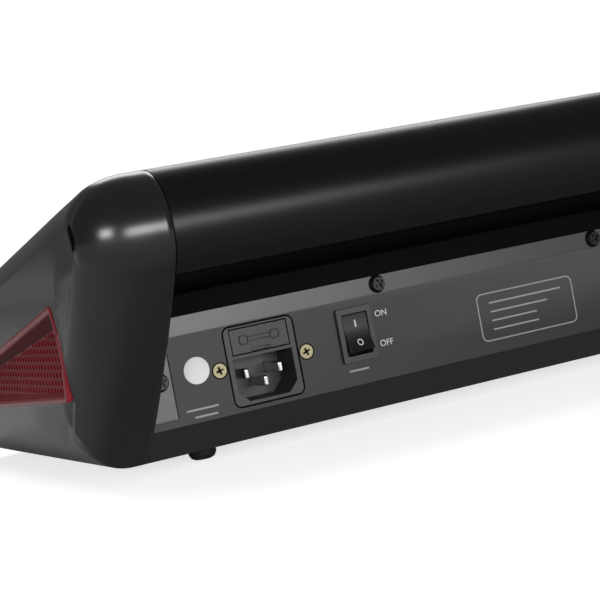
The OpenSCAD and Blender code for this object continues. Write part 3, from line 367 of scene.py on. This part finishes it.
def rounded(corners, radii, inset=0.0, steps=6):
    """Polygon (counter-clockwise corners) with each corner rounded, inset by a distance."""
    count = len(corners)
    lines = []
    for i in range(count):
        a, b = Vector(corners[i]), Vector(corners[(i + 1) % count])
        way = (b - a).normalized()
        lines.append((a + Vector((-way.y, way.x)) * inset, way))
    points = []
    for i in range(count):
        (p, u), (q, v) = lines[i - 1], lines[i]
        cross = u.x * v.y - u.y * v.x
        t = ((q.x - p.x) * v.y - (q.y - p.y) * v.x) / cross
        corner = p + u * t
        turn = math.atan2(cross, u.dot(v))
        radius = max(radii[i] - inset * math.copysign(1, turn), 0.04)
        back = radius * math.tan(abs(turn) / 2)
        side = math.copysign(1, turn)
        centre = corner - u * back + Vector((-u.y, u.x)) * radius * side
        start = math.atan2(u.y, u.x) - side * math.pi / 2
        for k in range(steps + 1):
            angle = start + turn * k / steps
            points.append(centre + Vector((math.cos(angle), math.sin(angle))) * radius)
    return points


def rectangle(width, height):
    """Corners of a rectangle round the origin, counter-clockwise."""
    w, h = width / 2, height / 2
    return [(-w, -h), (w, -h), (w, h), (-w, h)]


def pad(bm, corners, radii, profile, shift=(0, 0), closed=False, steps=6):
    """Rounded plate whose edge follows profile, a list of (inset, height)."""
    if isinstance(radii, (int, float)):
        radii = [radii] * len(corners)
    rings = [[(p.x + shift[0], p.y + shift[1], height)
              for p in rounded(corners, radii, inset, steps)] for inset, height in profile]
    loft(bm, rings, closed=closed)


def edged(low, high, bevel):
    """Profile of a plate from low to high with a rounded upper edge."""
    return [(0, low), (0, high - bevel), (bevel * 0.3, high - bevel * 0.3), (bevel, high)]


def circle(radius, height, steps, centre=(0, 0), squeeze=1.0):
    """Points of a level ring; squeeze narrows it across."""
    return [(centre[0] + radius * squeeze * math.cos(2 * math.pi * i / steps),
             centre[1] + radius * math.sin(2 * math.pi * i / steps), height)
            for i in range(steps)]


def add_turned(bm, part, place):
    """Adds the mesh of part to bm after moving it by place, and frees part."""
    bmesh.ops.transform(part, matrix=place, verts=part.verts)
    mesh = bpy.data.meshes.new("part")
    part.to_mesh(mesh)
    part.free()
    bm.from_mesh(mesh)
    bpy.data.meshes.remove(mesh)


def dressed(node, material, bevel, angle=35, edit=None):
    """Copy of a CAD node with its edges rounded, which stands for it."""
    bm = bmesh.new()
    bm.from_mesh(nodes[node].data)
    if edit:
        edit(bm)
    bmesh.ops.remove_doubles(bm, verts=bm.verts, dist=2e-6)
    bmesh.ops.dissolve_limit(bm, angle_limit=math.radians(0.8), verts=bm.verts, edges=bm.edges)
    mesh = bpy.data.meshes.new(node + "_finished")
    bm.to_mesh(mesh)
    bm.free()
    mesh.materials.append(material)
    mesh.shade_smooth()
    mesh.set_sharp_from_angle(angle=math.radians(angle))
    piece = bpy.data.objects.new(node + "_finished", mesh)
    bpy.context.scene.collection.objects.link(piece)
    edge = piece.modifiers.new("edges", "BEVEL")
    edge.width = bevel * MM
    edge.segments = 2
    edge.limit_method = "ANGLE"
    edge.angle_limit = math.radians(angle)
    even = piece.modifiers.new("even_shading", "WEIGHTED_NORMAL")
    even.keep_sharp = True
    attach(piece, nodes[node]["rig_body"])
    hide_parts(node)


def paint_node(node, material, angle=32):
    """Gives a CAD node, kept as it is, its finish."""
    mesh = nodes[node].data
    mesh.materials.clear()
    mesh.materials.append(material)
    mesh.shade_smooth()
    mesh.set_sharp_from_angle(angle=math.radians(angle))


def smoothstep(a, b, v):
    """0 at a and 1 at b, easing in and out; a may be the larger."""
    t = np.clip((v - a) / (b - a), 0.0, 1.0)
    return t * t * (3 - 2 * t)


# ---------------------------------------------------------------- cheeks
# Each SIDE_ pair says where a rounding starts across the cheek, and its inset at the outer face.
SIDE_TOP = (4.4, 15.4)      # at the deck
SIDE_ROLL = (7.4, 16.2)     # at the roll
SIDE_LOW = (5.9, 32.4)      # at the underside
SIDE_REAR = (11.0, 11.0)    # at the slanted rear face
SIDE_CORNER = (22.0, 4.6)   # tighter, and added to SIDE_REAR
REAR_POWER = 2.4            # how softly SIDE_REAR starts
REAR_BOW = 2.0              # how far the rear face bulges between its ends
SEAM_GROOVE = 0.5           # chamfer along the seam with the steel body
CORNER_R = 15.0             # rounding of the lower rear corner at the outer face
CORNER_MIN = 0.05           # the same at the seam
CORNER_SPAN = (12, 30)      # where it grows across the cheek
NOSE_MIN, TOE_MIN = 3.0, 1.5
REAR_STEPS, DECK_STEPS, BASE_STEPS = 120, 120, 120
ROUND_STEPS, FACE_STEPS = 44, 60
SPINE = ((34.0, 56.0), (-150.0, 48.0))      # line that the outer face closes on, as (y, z)

# Carved into the outer face; places are (y, z)
RIDGE = [(37.5, 80), (30, 67), (26, 51), (23.6, 40), (17.4, 29), (5.6, 18)]
RIDGE_RISE, RIDGE_W = 0.35, 0.9
SUNK = 0.8                  # drop of the face behind the ridge
STEP_Y, STEP_DEPTH = 63.6, 0.7      # crease between the roll's end and the side face
NOTCH, NOTCH_DEPTH = (61.6, 87.2), 1.3      # small pocket at the lower end of the crease
LOW_CORNER = (10.3, 32.4)   # lower rear corner at the outer face
DOME, DOME_W = 0.45, 10     # easing of the face towards its rear edge
SCOOP_DEPTH = 2.2           # hollow under the insert
SEAT_DEPTH = 7.0            # recess that the insert sits in

# Outline of the insert, from its lower rear corner up and round to the front, with its radii
VENT = [(18.4, 30.6), (22.6, 43.5), (22.2, 55.0), (18.4, 65.5), (16.2, 65.2), (-107.0, 43.6),
        (-107.0, 25.8)]
VENT_R = [2.4, 12.0, 14.0, 2.4, 1.6, 3.0, 2.5]
VENT_EDGE = [tuple(p) for p in rounded(VENT, VENT_R)]
VENT_PITCH, VENT_ROW, VENT_HOLE = 4.3, 2.9, 0.95    # along a row, between rows, hole radius
HOLE_DEPTH = 1.3
RIM_W = 2.1                 # from the edge to where the sheet starts to sink
WALL_RUN = 1.3              # width over which it sinks by a depth of 1
SHEET_DROP, SHEET_LIP = 0.9, 0.4    # the sheet's edge lies this far under the outer face
BED_DEPTH, BED_FALL = 0.9, 0.12     # depth of its bed at the lower edge, and slope from there


def rounding(x, shape):
    """Inset of a quarter ellipse that starts at shape[0] and ends square to the outer face."""
    start, inset = shape
    t = min(max((x - start) / (CHEEK_T - start), 0), 1)
    return inset * (1 - math.sqrt(1 - t * t))


def easing(x, shape, power):
    """Softer rounding, which still slopes at the outer face instead of turning square to it."""
    start, inset = shape
    return inset * min(max((x - start) / (CHEEK_T - start), 0), 1) ** power


def straight(a, b, n):
    """n points of a line, without its end."""
    return [(a[0] + (b[0] - a[0]) * i / n, a[1] + (b[1] - a[1]) * i / n) for i in range(n)]


def bow(cy, cz, r, a0, a1, n):
    """n points of an arc between two angles in degrees, without its end."""
    return [(cy + r * math.cos(math.radians(a0 + (a1 - a0) * i / n)),
             cz + r * math.sin(math.radians(a0 + (a1 - a0) * i / n))) for i in range(n)]


def side_outline(x):
    """Side profile of the cheek at a distance x from the steel body, as (y, z) points."""
    groove = max(SEAM_GROOVE - x, 0)
    deck, roll, low = (rounding(x, shape) + groove for shape in (SIDE_TOP, SIDE_ROLL, SIDE_LOW))
    rear = easing(x, SIDE_REAR, REAR_POWER) + rounding(x, SIDE_CORNER) + groove
    fall = math.degrees(DECK)
    corner_y = (low * math.cos(REAR_SLOPE) - rear) / math.sin(REAR_SLOPE)
    r = ROLL_R - roll
    roll_end = (ROLL_Y + r * math.cos(math.radians(90 + fall)),
                ROLL_Z + r * math.sin(math.radians(90 + fall)))
    nose = max(NOSE_R - deck, NOSE_MIN)
    nose_y = FRONT_Y + deck + nose
    nose_z = deck_at(nose_y) - (nose + deck) / math.cos(DECK)
    nose_start = (nose_y + nose * math.cos(math.radians(90 + fall)),
                  nose_z + nose * math.sin(math.radians(90 + fall)))
    toe = max(TOE_R - deck, TOE_MIN)
    toe_y, toe_z = FRONT_Y + deck + toe, low + toe
    rear_start = (ROLL_Y + r * math.cos(math.radians(-45)),
                  ROLL_Z + r * math.sin(math.radians(-45)))
    fillet = CORNER_MIN + CORNER_R * float(smoothstep(*CORNER_SPAN, x))
    back = fillet * math.tan(REAR_SLOPE / 2)
    rear_end = (corner_y + back * math.cos(REAR_SLOPE), low + back * math.sin(REAR_SLOPE))
    bulge = [REAR_BOW * 4 * i / REAR_STEPS * (1 - i / REAR_STEPS) for i in range(REAR_STEPS)]
    rear = [(y + b * math.sin(REAR_SLOPE), z - b * math.cos(REAR_SLOPE))
            for (y, z), b in zip(straight(rear_end, rear_start, REAR_STEPS), bulge)]
    return (bow(corner_y - back, low + fillet, fillet, -90, -45, 18) + rear
            + bow(ROLL_Y, ROLL_Z, r, -45, 90 + fall, 64)
            + straight(roll_end, nose_start, DECK_STEPS)
            + bow(nose_y, nose_z, nose, 90 + fall, 180, 14)
            + straight((nose_y - nose, nose_z), (toe_y - toe, toe_z), 12)
            + bow(toe_y, toe_z, toe, 180, 270, 6)
            + straight((toe_y, low), (corner_y - back, low), BASE_STEPS))


def along(points, y, z):
    """Distance from (y, z) to a line of points, and how far along it the nearest place is."""
    best = np.full(y.shape, 1e9)
    place = np.zeros(y.shape)
    total = len(points) - 1
    for i in range(total):
        (ay, az), (by, bz) = points[i], points[i + 1]
        t = np.clip(((y - ay) * (by - ay) + (z - az) * (bz - az))
                    / ((by - ay) ** 2 + (bz - az) ** 2), 0, 1)
        d = np.hypot(y - ay - t * (by - ay), z - az - t * (bz - az))
        place = np.where(d < best, (i + t) / total, place)
        best = np.minimum(best, d)
    return best, place


def signed_area(corners):
    """Positive for a counter-clockwise polygon; twice its area."""
    return sum(a[0] * b[1] - a[1] * b[0] for a, b in zip(corners, corners[1:] + corners[:1]))


def depth_inside(corners, y, z):
    """Distance inside a convex clockwise or counter-clockwise polygon; negative outside."""
    side = math.copysign(1, signed_area(corners))
    depth = np.full(y.shape, 1e9)
    for a, b in zip(corners, corners[1:] + corners[:1]):
        length = math.hypot(b[0] - a[0], b[1] - a[1])
        d = side * ((b[0] - a[0]) * (z - a[1]) - (b[1] - a[1]) * (y - a[0])) / length
        depth = np.minimum(depth, d)
    return depth


def notch_reach(y, z):
    """How far out (y, z) lies in the notch: 0 in its middle, 1 at its edge."""
    dz = (z - NOTCH[1]) / 4.8
    return np.hypot((y - NOTCH[0]) / 2.6 + 0.3 * dz + 0.5 * dz * dz, dz)


def carve(points):
    """Pushes the side face in and out: the crease, pocket, ridge, scoop and vent seat.

    Each shape is 0 to 1, and fades out between two heights or two places along the cheek.
    """
    x, y, z = points[:, 0], points[:, 1], points[:, 2]
    outer = smoothstep(20, 28, x)               # nothing moves near the steel body
    step = (1 - smoothstep(STEP_Y - 3.0, STEP_Y, y)) * smoothstep(74, 86, z)
    step *= smoothstep(25, 55, y)
    pocket = 1 - smoothstep(0.6, 1.0, notch_reach(y, z))
    from_rear = ((z - LOW_CORNER[1]) * math.cos(REAR_SLOPE)
                 - (y - LOW_CORNER[0]) * math.sin(REAR_SLOPE))
    dome = (1 - np.clip(from_rear / DOME_W, 0, 1)) ** 2 * smoothstep(86, 70, z)
    away, place = along(RIDGE, y, z)
    ridge = np.exp(-(away / RIDGE_W) ** 2) * smoothstep(0, 0.25, place) * smoothstep(1, 0.85, place)
    line = np.interp(z, [q for _, q in reversed(RIDGE)], [p for p, _ in reversed(RIDGE)])
    sunk = smoothstep(-0.9, 0.9, line - y) * smoothstep(88, 66, z) * smoothstep(8, 20, z)
    scoop = (smoothstep(12, 22, z) * (1 - smoothstep(26.5, 28.6, z))
             * (1 - smoothstep(2.5, 5.5, y)) * (0.2 + 0.8 * smoothstep(-40, 0, y)))
    seat = smoothstep(0.85, 0.95, depth_inside(VENT_EDGE, y, z))
    push = (DOME * dome + STEP_DEPTH * step + NOTCH_DEPTH * pocket + SUNK * sunk
            - RIDGE_RISE * ridge + SCOOP_DEPTH * scoop + SEAT_DEPTH * seat)
    points[:, 0] = np.minimum(x - push * outer, CHEEK_T)
    return points


def at_end(side):
    """Frame of a cheek, side 1 or -1: x counts outwards from the steel body."""
    return BODY @ Matrix.Diagonal((side, 1, 1, 1)) @ Matrix.Translation((HALF_W, 0, 0))


def cheek(side, name, node):
    """Moulded end cheek, side 1 or -1, with the bottom of its notch as a separate near-black piece
    of painted shade.
    """
    start = SIDE_TOP[0]
    xs = [0.0, SEAM_GROOVE, 2.5, start]
    xs += [CHEEK_T - (CHEEK_T - start) * (1 - math.sin(math.radians(a)))
           for a in np.linspace(4, 90, ROUND_STEPS)]
    rings = [np.array([(x, y, z) for y, z in side_outline(x)]) for x in xs]
    rim = rings[-1]
    count = len(rim)
    spine_a, spine_b = np.array(SPINE)
    t = np.clip(((rim[:, 1:] - spine_a) @ (spine_b - spine_a))
                / ((spine_b - spine_a) @ (spine_b - spine_a)), 0, 1)
    target = spine_a + t[:, None] * (spine_b - spine_a)
    for f in np.linspace(0, 1, FACE_STEPS)[1:]:
        ring = rim.copy()
        ring[:, 1:] = rim[:, 1:] + (target - rim[:, 1:]) * f * 0.999
        rings.append(ring)
    points = carve(np.vstack(rings))
    place = at_end(side)
    for dark in (False, True):
        bm = bmesh.new()
        loft(bm, [points[i * count:(i + 1) * count] for i in range(len(rings))])
        apart = []
        for face in bm.faces:
            middle = face.calc_center_median()
            in_notch = middle.x > 25 and notch_reach(middle.y, middle.z) < 0.95
            if in_notch != dark:
                apart.append(face)
        bmesh.ops.delete(bm, geom=apart, context="FACES")
        # The notch piece is near-black painted shade for the bottom of the pocket.
        if dark:
            finish_piece(name + "_notch", bm, place, SHADE_BLACK, crease=60)
        else:
            finish_piece(name, bm, place, MOULDED, stands_for=[node],
                         crease=60)


def vent(side, name, node):
    """Red insert: a rounded rim and a dished sheet with staggered round holes; its sloping walls
    are a darker red of painted shade.
    """
    way = 1 if signed_area(VENT) > 0 else -1
    corners, radii = VENT[::way], VENT_R[::way]
    place = at_end(side)
    turn = Matrix(((0, 0, 1, 0), (1, 0, 0, 0), (0, 1, 0, 0), (0, 0, 0, 1)))
    top = CHEEK_T - 0.02
    bm = bmesh.new()
    # The rim stands on a foot below the face, and rolls over to meet the sheet.
    profile = [(-0.35, top - 2.6), (-0.35, top - 0.9), (-0.1, top - 0.45), (0.5, top - 0.25),
               (1.5, top - 0.3), (2.1, top - 0.7), (2.5, top - 1.7), (2.6, top - 3.6)]
    pad(bm, corners, radii, profile, closed=True, steps=8)
    finish_piece(name + "_rim", bm, place @ turn, RIM_RED, stands_for=[node],
                 crease=50)

    ys = np.arange(VENT[1][0] - 0.6, VENT[-1][0] + 0.6, -VENT_PITCH / 9)
    zs = np.arange(VENT[-1][1] + 0.6, VENT[3][1] - 0.6, VENT_ROW / 7)
    y, z = np.meshgrid(ys, zs, indexing="ij")
    inside = depth_inside(VENT_EDGE, y, z)
    (ay, az), (by, bz) = VENT[-3], VENT[-2]
    from_top = ((az - z) * (ay - by) + (y - ay) * (az - bz)) / math.hypot(ay - by, az - bz)
    (cy, cz), (dy, dz) = VENT[-1], VENT[0]
    from_low = z - cz - (y - cy) * (dz - cz) / (dy - cy)
    bed = BED_DEPTH + BED_FALL * np.clip(from_low - 2.5, 0, 40)
    sunk = np.clip((inside - RIM_W) / WALL_RUN, 0, 1) * bed
    slant = np.clip((from_top - 2.0) / WALL_RUN, 0, 4)
    on_wall = slant < sunk - 0.02
    dish = SHEET_LIP + np.minimum(sunk, slant)
    row = np.round((z - VENT[0][1] - 3.6) / VENT_ROW)
    lag = np.where(row % 2 == 0, 0.0, 0.5) * VENT_PITCH
    dy = (y - VENT[0][0] + 3.0 + lag + VENT_PITCH / 2) % VENT_PITCH - VENT_PITCH / 2
    dz = z - VENT[0][1] - 3.6 - row * VENT_ROW
    hole = 1 - smoothstep(VENT_HOLE * 0.75, VENT_HOLE * 1.15, np.hypot(dy, dz))
    hole = hole * (inside > 3.6) * smoothstep(-0.1, 0.0, dish - SHEET_LIP - bed)
    x = top - SHEET_DROP - dish - HOLE_DEPTH * hole
    # The _wall faces, where the sheet slopes down under the rim, get the darker red of painted
    # shade.
    for part, material in (("_sheet", RED), ("_wall", WALL_SHADE_RED)):
        bm = bmesh.new()
        grid = {}
        for i, j in np.ndindex(len(ys) - 1, len(zs) - 1):
            square = [(i, j), (i + 1, j), (i + 1, j + 1), (i, j + 1)]
            if on_wall[i, j] == (part == "_wall") and all(inside[p] > 1.4 for p in square):
                for p in square:
                    if p not in grid:
                        grid[p] = bm.verts.new((x[p], y[p], z[p]))
                bm.faces.new([grid[p] for p in square])
        finish_piece(name + part, bm, place, material, crease=75)


cheek(1, "cheek_shell_right", "cheek_right")
cheek(-1, "cheek_shell_left", "cheek_left")
vent(1, "vent_insert_right", "vent_right")
vent(-1, "vent_insert_left", "vent_left")

# ---------------------------------------------------------------- rear details
INLET_X, INLET_Z, INLET_W, INLET_H, INLET_R = HALF_W - 48.2, 29.2, 28.5, 30.0, 2.5
DRAWER_Z = 38.4
SWITCH_X, SWITCH_Z, PIVOT_Y = HALF_W - 88.0, 31.7, 12.6
ROCKER_TILT = math.radians(13)
SCREW_X, SCREW_STEPS = 18.1, 40     # from the inlet's middle to its screws
STICKER_R = 5.1
INK_T, INK_LOW = 0.06, -0.2         # print stands this proud, and starts this far inside


def plain_front(bm):
    """Takes the raised mark off the drawer, for the rounder one that is drawn below."""
    plane = (BODY @ Vector((0, PANEL_Y, 0))).y
    for vert in bm.verts:
        vert.co.y = min(vert.co.y, plane)
    bmesh.ops.dissolve_degenerate(bm, dist=1e-6, edges=bm.edges)


def ring_plate(bm, corners, radii, wide, low, high, shift=(0, 0)):
    """Frame of a given width along the inside of a rounded outline."""
    soft = min(wide, high - low) * 0.3
    pad(bm, corners, radii, [(0, low), (0, high - soft), (soft, high), (wide - soft, high),
                             (wide, high - soft), (wide, low)], shift=shift, closed=True)


def printed_ring(bm, radius, wide, centre):
    """Flat printed ring, a little taller than wide as the mark on a switch is."""
    profile = ((radius, INK_LOW), (radius, INK_T), (radius - wide, INK_T),
               (radius - wide, INK_LOW))
    loft(bm, [circle(r, height, 40, centre, squeeze=0.9) for r, height in profile], closed=True)


def drawer_mark():
    """Raised fuse sign on the drawer, over a small grip."""
    bm = bmesh.new()
    for side in (-1, 1):
        ring_plate(bm, rectangle(4.0, 3.8), 1.5, 0.55, 0, 0.5, shift=(side * 6.4, 0.3))
    for rise in (-0.75, 0.75):
        pad(bm, rectangle(9.2, 0.4), 0.15, edged(0, 0.45, 0.12), shift=(0, 0.3 + rise))
    pad(bm, rectangle(8.0, 1.3), 0.4, edged(0, 0.5, 0.2), shift=(0, -3.9))
    finish_piece("drawer_mark", bm, rear_face(INLET_X, DRAWER_Z), FRAME_BLACK,
                 body=nodes["fuse_drawer"]["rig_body"])


def rocker_height(z):
    """Height of the rocker's face over its pivot at a distance z from its middle."""
    return float(np.interp(abs(z), [0, 3.65, 7.3], [2.0, 2.4, 3.4]))


def rocker_marks():
    """I and O, laid on the two slopes of the rocker."""
    bm = bmesh.new()
    pad(bm, rectangle(0.6, 2.7), 0.12, [(0, INK_LOW), (0, INK_T)], shift=(0, 3.7))
    printed_ring(bm, 1.35, 0.42, (0, -3.9))
    for vert in bm.verts:
        vert.co.z += rocker_height(vert.co.y)
    place = (BODY @ Matrix.Translation((SWITCH_X, PIVOT_Y, SWITCH_Z))
             @ Matrix.Rotation(ROCKER_TILT, 4, "X") @ FACING_REAR)
    finish_piece("rocker_marks", bm, place, INK, body=nodes["switch_rocker"]["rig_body"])


def printed_bar(bm, a, z, length, thick):
    """Plain bar in the place of a printed line; a is measured from the end of the body."""
    pad(bm, rectangle(length, thick), min(thick, length) * 0.3, [(0, 0), (0, INK_T)],
        shift=(a, z), steps=2)


def panel_print():
    """Plain bars where the panel carries print, with a frame round the four to the right."""
    bm = bmesh.new()
    printed_bar(bm, 20.6, 16.9, 13.0, 0.7)
    printed_bar(bm, 21.6, 14.1, 9.4, 0.7)
    printed_bar(bm, 86.8, 17.8, 8.6, 0.7)
    for line, length in enumerate([34.0, 27.0, 21.4, 21.6]):
        printed_bar(bm, 148.6 + length / 2, 32.2 - 3.6 * line, length, 0.6)
    finish_piece("panel_print", bm, rear_face(HALF_W, 0), SOFT_INK)
    bm = bmesh.new()
    ring_plate(bm, rectangle(45.4, 19.4), 2.6, 0.5, 0, INK_T, shift=(165.7, 26.7))
    finish_piece("panel_frame", bm, rear_face(HALF_W, 0), SOFT_INK)


def letters(words, height, place, name):
    """Short printed mark in Blender's own type, centred on the frame given."""
    curve = bpy.data.curves.new(name, "FONT")
    curve.body, curve.size = words, height
    curve.align_x, curve.align_y = "CENTER", "CENTER"
    curve.extrude = INK_T / 2
    typed = bpy.data.objects.new(name, curve)
    bpy.context.scene.collection.objects.link(typed)
    bpy.context.view_layer.update()
    bm = bmesh.new()
    bm.from_mesh(typed.evaluated_get(bpy.context.evaluated_depsgraph_get()).to_mesh())
    bpy.data.objects.remove(typed)
    finish_piece("print_" + name, bm, place @ Matrix.Translation((0, 0, INK_T / 2)), INK)


def panel_words():
    """The two marks beside the switch."""
    letters("ON", 3.4, rear_face(HALF_W - 100.3, 37.6), "on")
    letters("OFF", 3.4, rear_face(HALF_W - 100.6, 25.8), "off")


def round_sticker():
    """Plain paper disc in the place of the inspection sticker."""
    low, high = mm_box("sticker")
    middle = (low + high) / 2
    bm = bmesh.new()
    loft(bm, [circle(r, height, 72)
              for r, height in ((0.01, 0), (STICKER_R, 0), (STICKER_R, 0.1),
                                (STICKER_R - 0.1, 0.16), (0.01, 0.16))])
    finish_piece("round_sticker", bm, rear_face(middle.x - 0.3, middle.z - FOOT_H), PAPER,
                 stands_for=["sticker"], crease=60)


def inlet_gap():
    """Near-black ring round the face of the inlet: painted shade that makes its gap look wider and
    darker.
    """
    bm = bmesh.new()
    wide = 0.8
    ring_plate(bm, rectangle(INLET_W + 2 * wide - 0.1, INLET_H + 2 * wide - 0.1),
               INLET_R + wide, wide, -0.3, 0.04)
    finish_piece("inlet_gap", bm, rear_face(INLET_X, INLET_Z), SHADE_BLACK)


def screw_crosses():
    """Dark bottoms of the cross recesses in the inlet's screws, each turned its own way: flat
    crosses of painted shade.
    """
    bm = bmesh.new()
    for side, turn in ((-1, 8), (1, 24)):
        for quarter in (0, 90):
            arm = bmesh.new()
            pad(arm, rectangle(2.9, 0.62), 0.12, [(0, 0), (0, 0.02)], steps=2)
            add_turned(bm, arm, Matrix.Translation((side * SCREW_X, 0, 0))
                       @ Matrix.Rotation(math.radians(turn + quarter), 4, "Z"))
    head = (mm_box("inlet_screws")[1].y - EDGE_Y) - PANEL_Y
    finish_piece("screw_crosses", bm, rear_face(INLET_X, INLET_Z)
                 @ Matrix.Translation((0, 0, head)), SHADE_BLACK)


def screw_gaps():
    """Dark rim of each hole under the inlet's screws: a flat near-black ring of painted shade."""
    bm = bmesh.new()
    for side in (-1, 1):
        loft(bm, [circle(r, height, SCREW_STEPS, (side * SCREW_X, 0))
                  for r, height in ((3.2, 0), (3.2, 0.04), (2.7, 0.04), (2.7, 0))], closed=True)
    finish_piece("screw_gaps", bm, rear_face(INLET_X, INLET_Z), SHADE_BLACK)


drawer_mark()
rocker_marks()
panel_print()
panel_words()
round_sticker()
inlet_gap()
screw_gaps()
screw_crosses()

# ---------------------------------------------------------------- deck details
KEYS_S, KNOB_X, KEY_PITCH, KEY_Y, KEY_TOP = 64, 106.0, 36.0, -2.0, 3.8
KNOB_R, KNOB_FLOOR = 11.0, 9.8      # the knob, and the bottom of the groove in its top
DIAL_START, DIAL_STEP = 90, 27      # degrees clockwise from the rear, over the knob's travel
TICK_GAP, NUMBER_GAP = 2.0, 7.4     # from the knob to the ticks and to the numbers


def dial_print():
    """Eleven ticks round the knob, longer at both ends and in the middle, and plain numbers."""
    bm = bmesh.new()
    for i in range(11):
        angle = math.radians(DIAL_START + DIAL_STEP * i)
        length = 3.0 if i % 5 == 0 else 1.8
        reach = KNOB_R + TICK_GAP + length / 2
        tick = bmesh.new()
        pad(tick, rectangle(0.5, length), 0.12, [(0, 0), (0, INK_T)], steps=2)
        add_turned(bm, tick, Matrix.Rotation(-angle, 4, "Z")
                   @ Matrix.Translation((0, reach, 0)))
    finish_piece("dial_ticks", bm, on_deck(KNOB_X, KEYS_S), INK)
    reach = KNOB_R + NUMBER_GAP
    for number in (0, 5, 10):
        angle = math.radians(DIAL_START + DIAL_STEP * number)
        place = on_deck(KNOB_X + reach * math.sin(angle), KEYS_S - reach * math.cos(angle))
        letters(str(number), 3.2, place, f"dial_{number}")


def knob_mark():
    """White line in the knob's groove."""
    bm = bmesh.new()
    pad(bm, rectangle(0.8, 5.4), 0.2, [(0, 0), (0, INK_T)], shift=(0, KNOB_R - 4.2), steps=2)
    finish_piece("knob_mark", bm, on_deck(KNOB_X, KEYS_S, KNOB_FLOOR), INK,
                 body=nodes["sensitivity_knob"]["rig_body"])


def key_marks():
    """A ring with a dot, a disc with rays, and a horseshoe, one on each key."""
    for node, side in (("button_uv", -1), ("button_white", 0), ("button_magnet", 1)):
        bm = bmesh.new()
        if side == -1:
            printed_ring(bm, 3.0, 0.6, (0, 0))
            pad(bm, rectangle(1.8, 1.8), 0.85, [(0, INK_LOW), (0, INK_T)])
        elif side == 0:
            printed_ring(bm, 1.7, 0.5, (0, 0))
            for i in range(8):
                way = Vector((math.cos(i * math.pi / 4), math.sin(i * math.pi / 4)))
                across = Vector((-way.y, way.x)) * 0.25
                low, high = way * 2.4, way * 3.5
                loft(bm, [[(*(low - across), h), (*(low + across), h), (*(high + across), h),
                           (*(high - across), h)] for h in (INK_LOW, INK_T)])
        else:
            arc = [(math.cos(math.radians(180 - 10 * i)), math.sin(math.radians(180 - 10 * i)))
                   for i in range(19)]
            wide, hole, foot = 2.6, 1.4, -2.4
            outer = [(-wide, foot)] + [(wide * c, wide * d) for c, d in arc] + [(wide, foot)]
            inner = ([(hole, foot)] + [(hole * c, hole * d) for c, d in reversed(arc)]
                     + [(-hole, foot)])
            loft(bm, [[(px, py, h) for px, py in reversed(outer + inner)]
                      for h in (INK_LOW, INK_T)])
        finish_piece(node + "_mark", bm, on_deck(side * KEY_PITCH, KEYS_S - KEY_Y, KEY_TOP),
                     INK if side else PANEL, body=nodes[node]["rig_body"])


dial_print()
knob_mark()
key_marks()

# ---------------------------------------------------------------- CAD nodes
DRESSED = [                 # node, material and width of its rounded edges
    ("front_fascia", MOULDED, 0.5), ("window_frame", MOULDED, 0.5),
    ("keypad_bezel", MOULDED, 0.4), ("rail_brackets", BLACK_PART, 0.4),
    ("magnifier_carriage", BLACK_PART, 0.6), ("magnifier_rail", BRUSHED, 0.4),
    ("sensitivity_knob", BLACK_PART, 0.35), ("button_uv", KEY_VIOLET, 0.3),
    ("button_white", KEY_GREY, 0.3), ("button_magnet", KEY_RED, 0.3),
    ("magnetic_head", BRONZE, 0.3), ("bed_frame", WHITE, 0.4),
    ("inlet_housing", FRAME_BLACK, 0.3), ("fuse_drawer", FRAME_BLACK, 0.2),
    ("switch_housing", FRAME_BLACK, 0.35), ("switch_rocker", BLACK_PART, 0.3),
    ("rear_screws", DARK_FASTENER, 0.35), ("inlet_screws", YELLOW_METAL, 0.15),
    ("inlet_contacts", BRIGHT, 0.55), ("rubber_feet", RUBBER, 0.4),
    ("tube_caps", BRIGHT, 0.4), ("uv_tubes", TUBE, 0.4), ("lamp_holders", WHITE, 0.5),
]
dressed("top_cover", PAINT, bevel=0.5, angle=50)
for node, material, bevel in DRESSED:
    dressed(node, material, bevel, edit=plain_front if node == "fuse_drawer" else None)

PAINTED = {                 # kept as they are
    # rear_soffit and bay_partition get the near-black painted shade.
    "bottom_pan": TEXTURED, "rear_panel": PANEL, "rear_soffit": SHADE_BLACK,
    "side_plate_right": GREY_STEEL, "side_plate_left": GREY_STEEL,
    "bay_partition": SHADE_BLACK, "bed_diffuser": OPAL, "backlight_board": WHITE,
    "backlight_leds": LED_RESIN, "reflector": BRUSHED, "window_pane": TINTED,
    "power_board": BOARD, "transformer": YELLOW_TAPE, "capacitors": BLUE_SLEEVE,
    "terminal_block": GREEN_PART, "standoffs": BRIGHT, "mains_leads": LEAD,
    "switch_terminals": BRIGHT, "cheek_screws": BRIGHT, "base_screws": BRIGHT,
    "control_board": BOARD, "key_switches": BLACK_PART,
    "indicator_lights": LIGHT_GREEN, "buzzer": BLACK_PART, "potentiometer": GREY_STEEL,
    "fuses": BRIGHT, "knob_shaft": BRIGHT, "magnifier_lens": LENS_GLASS,
}
for node, material in PAINTED.items():
    paint_node(node, material)

# ---------------------------------------------------------------- end
bpy.context.view_layer.update()
bpy.context.scene.view_settings.view_transform = "Standard"
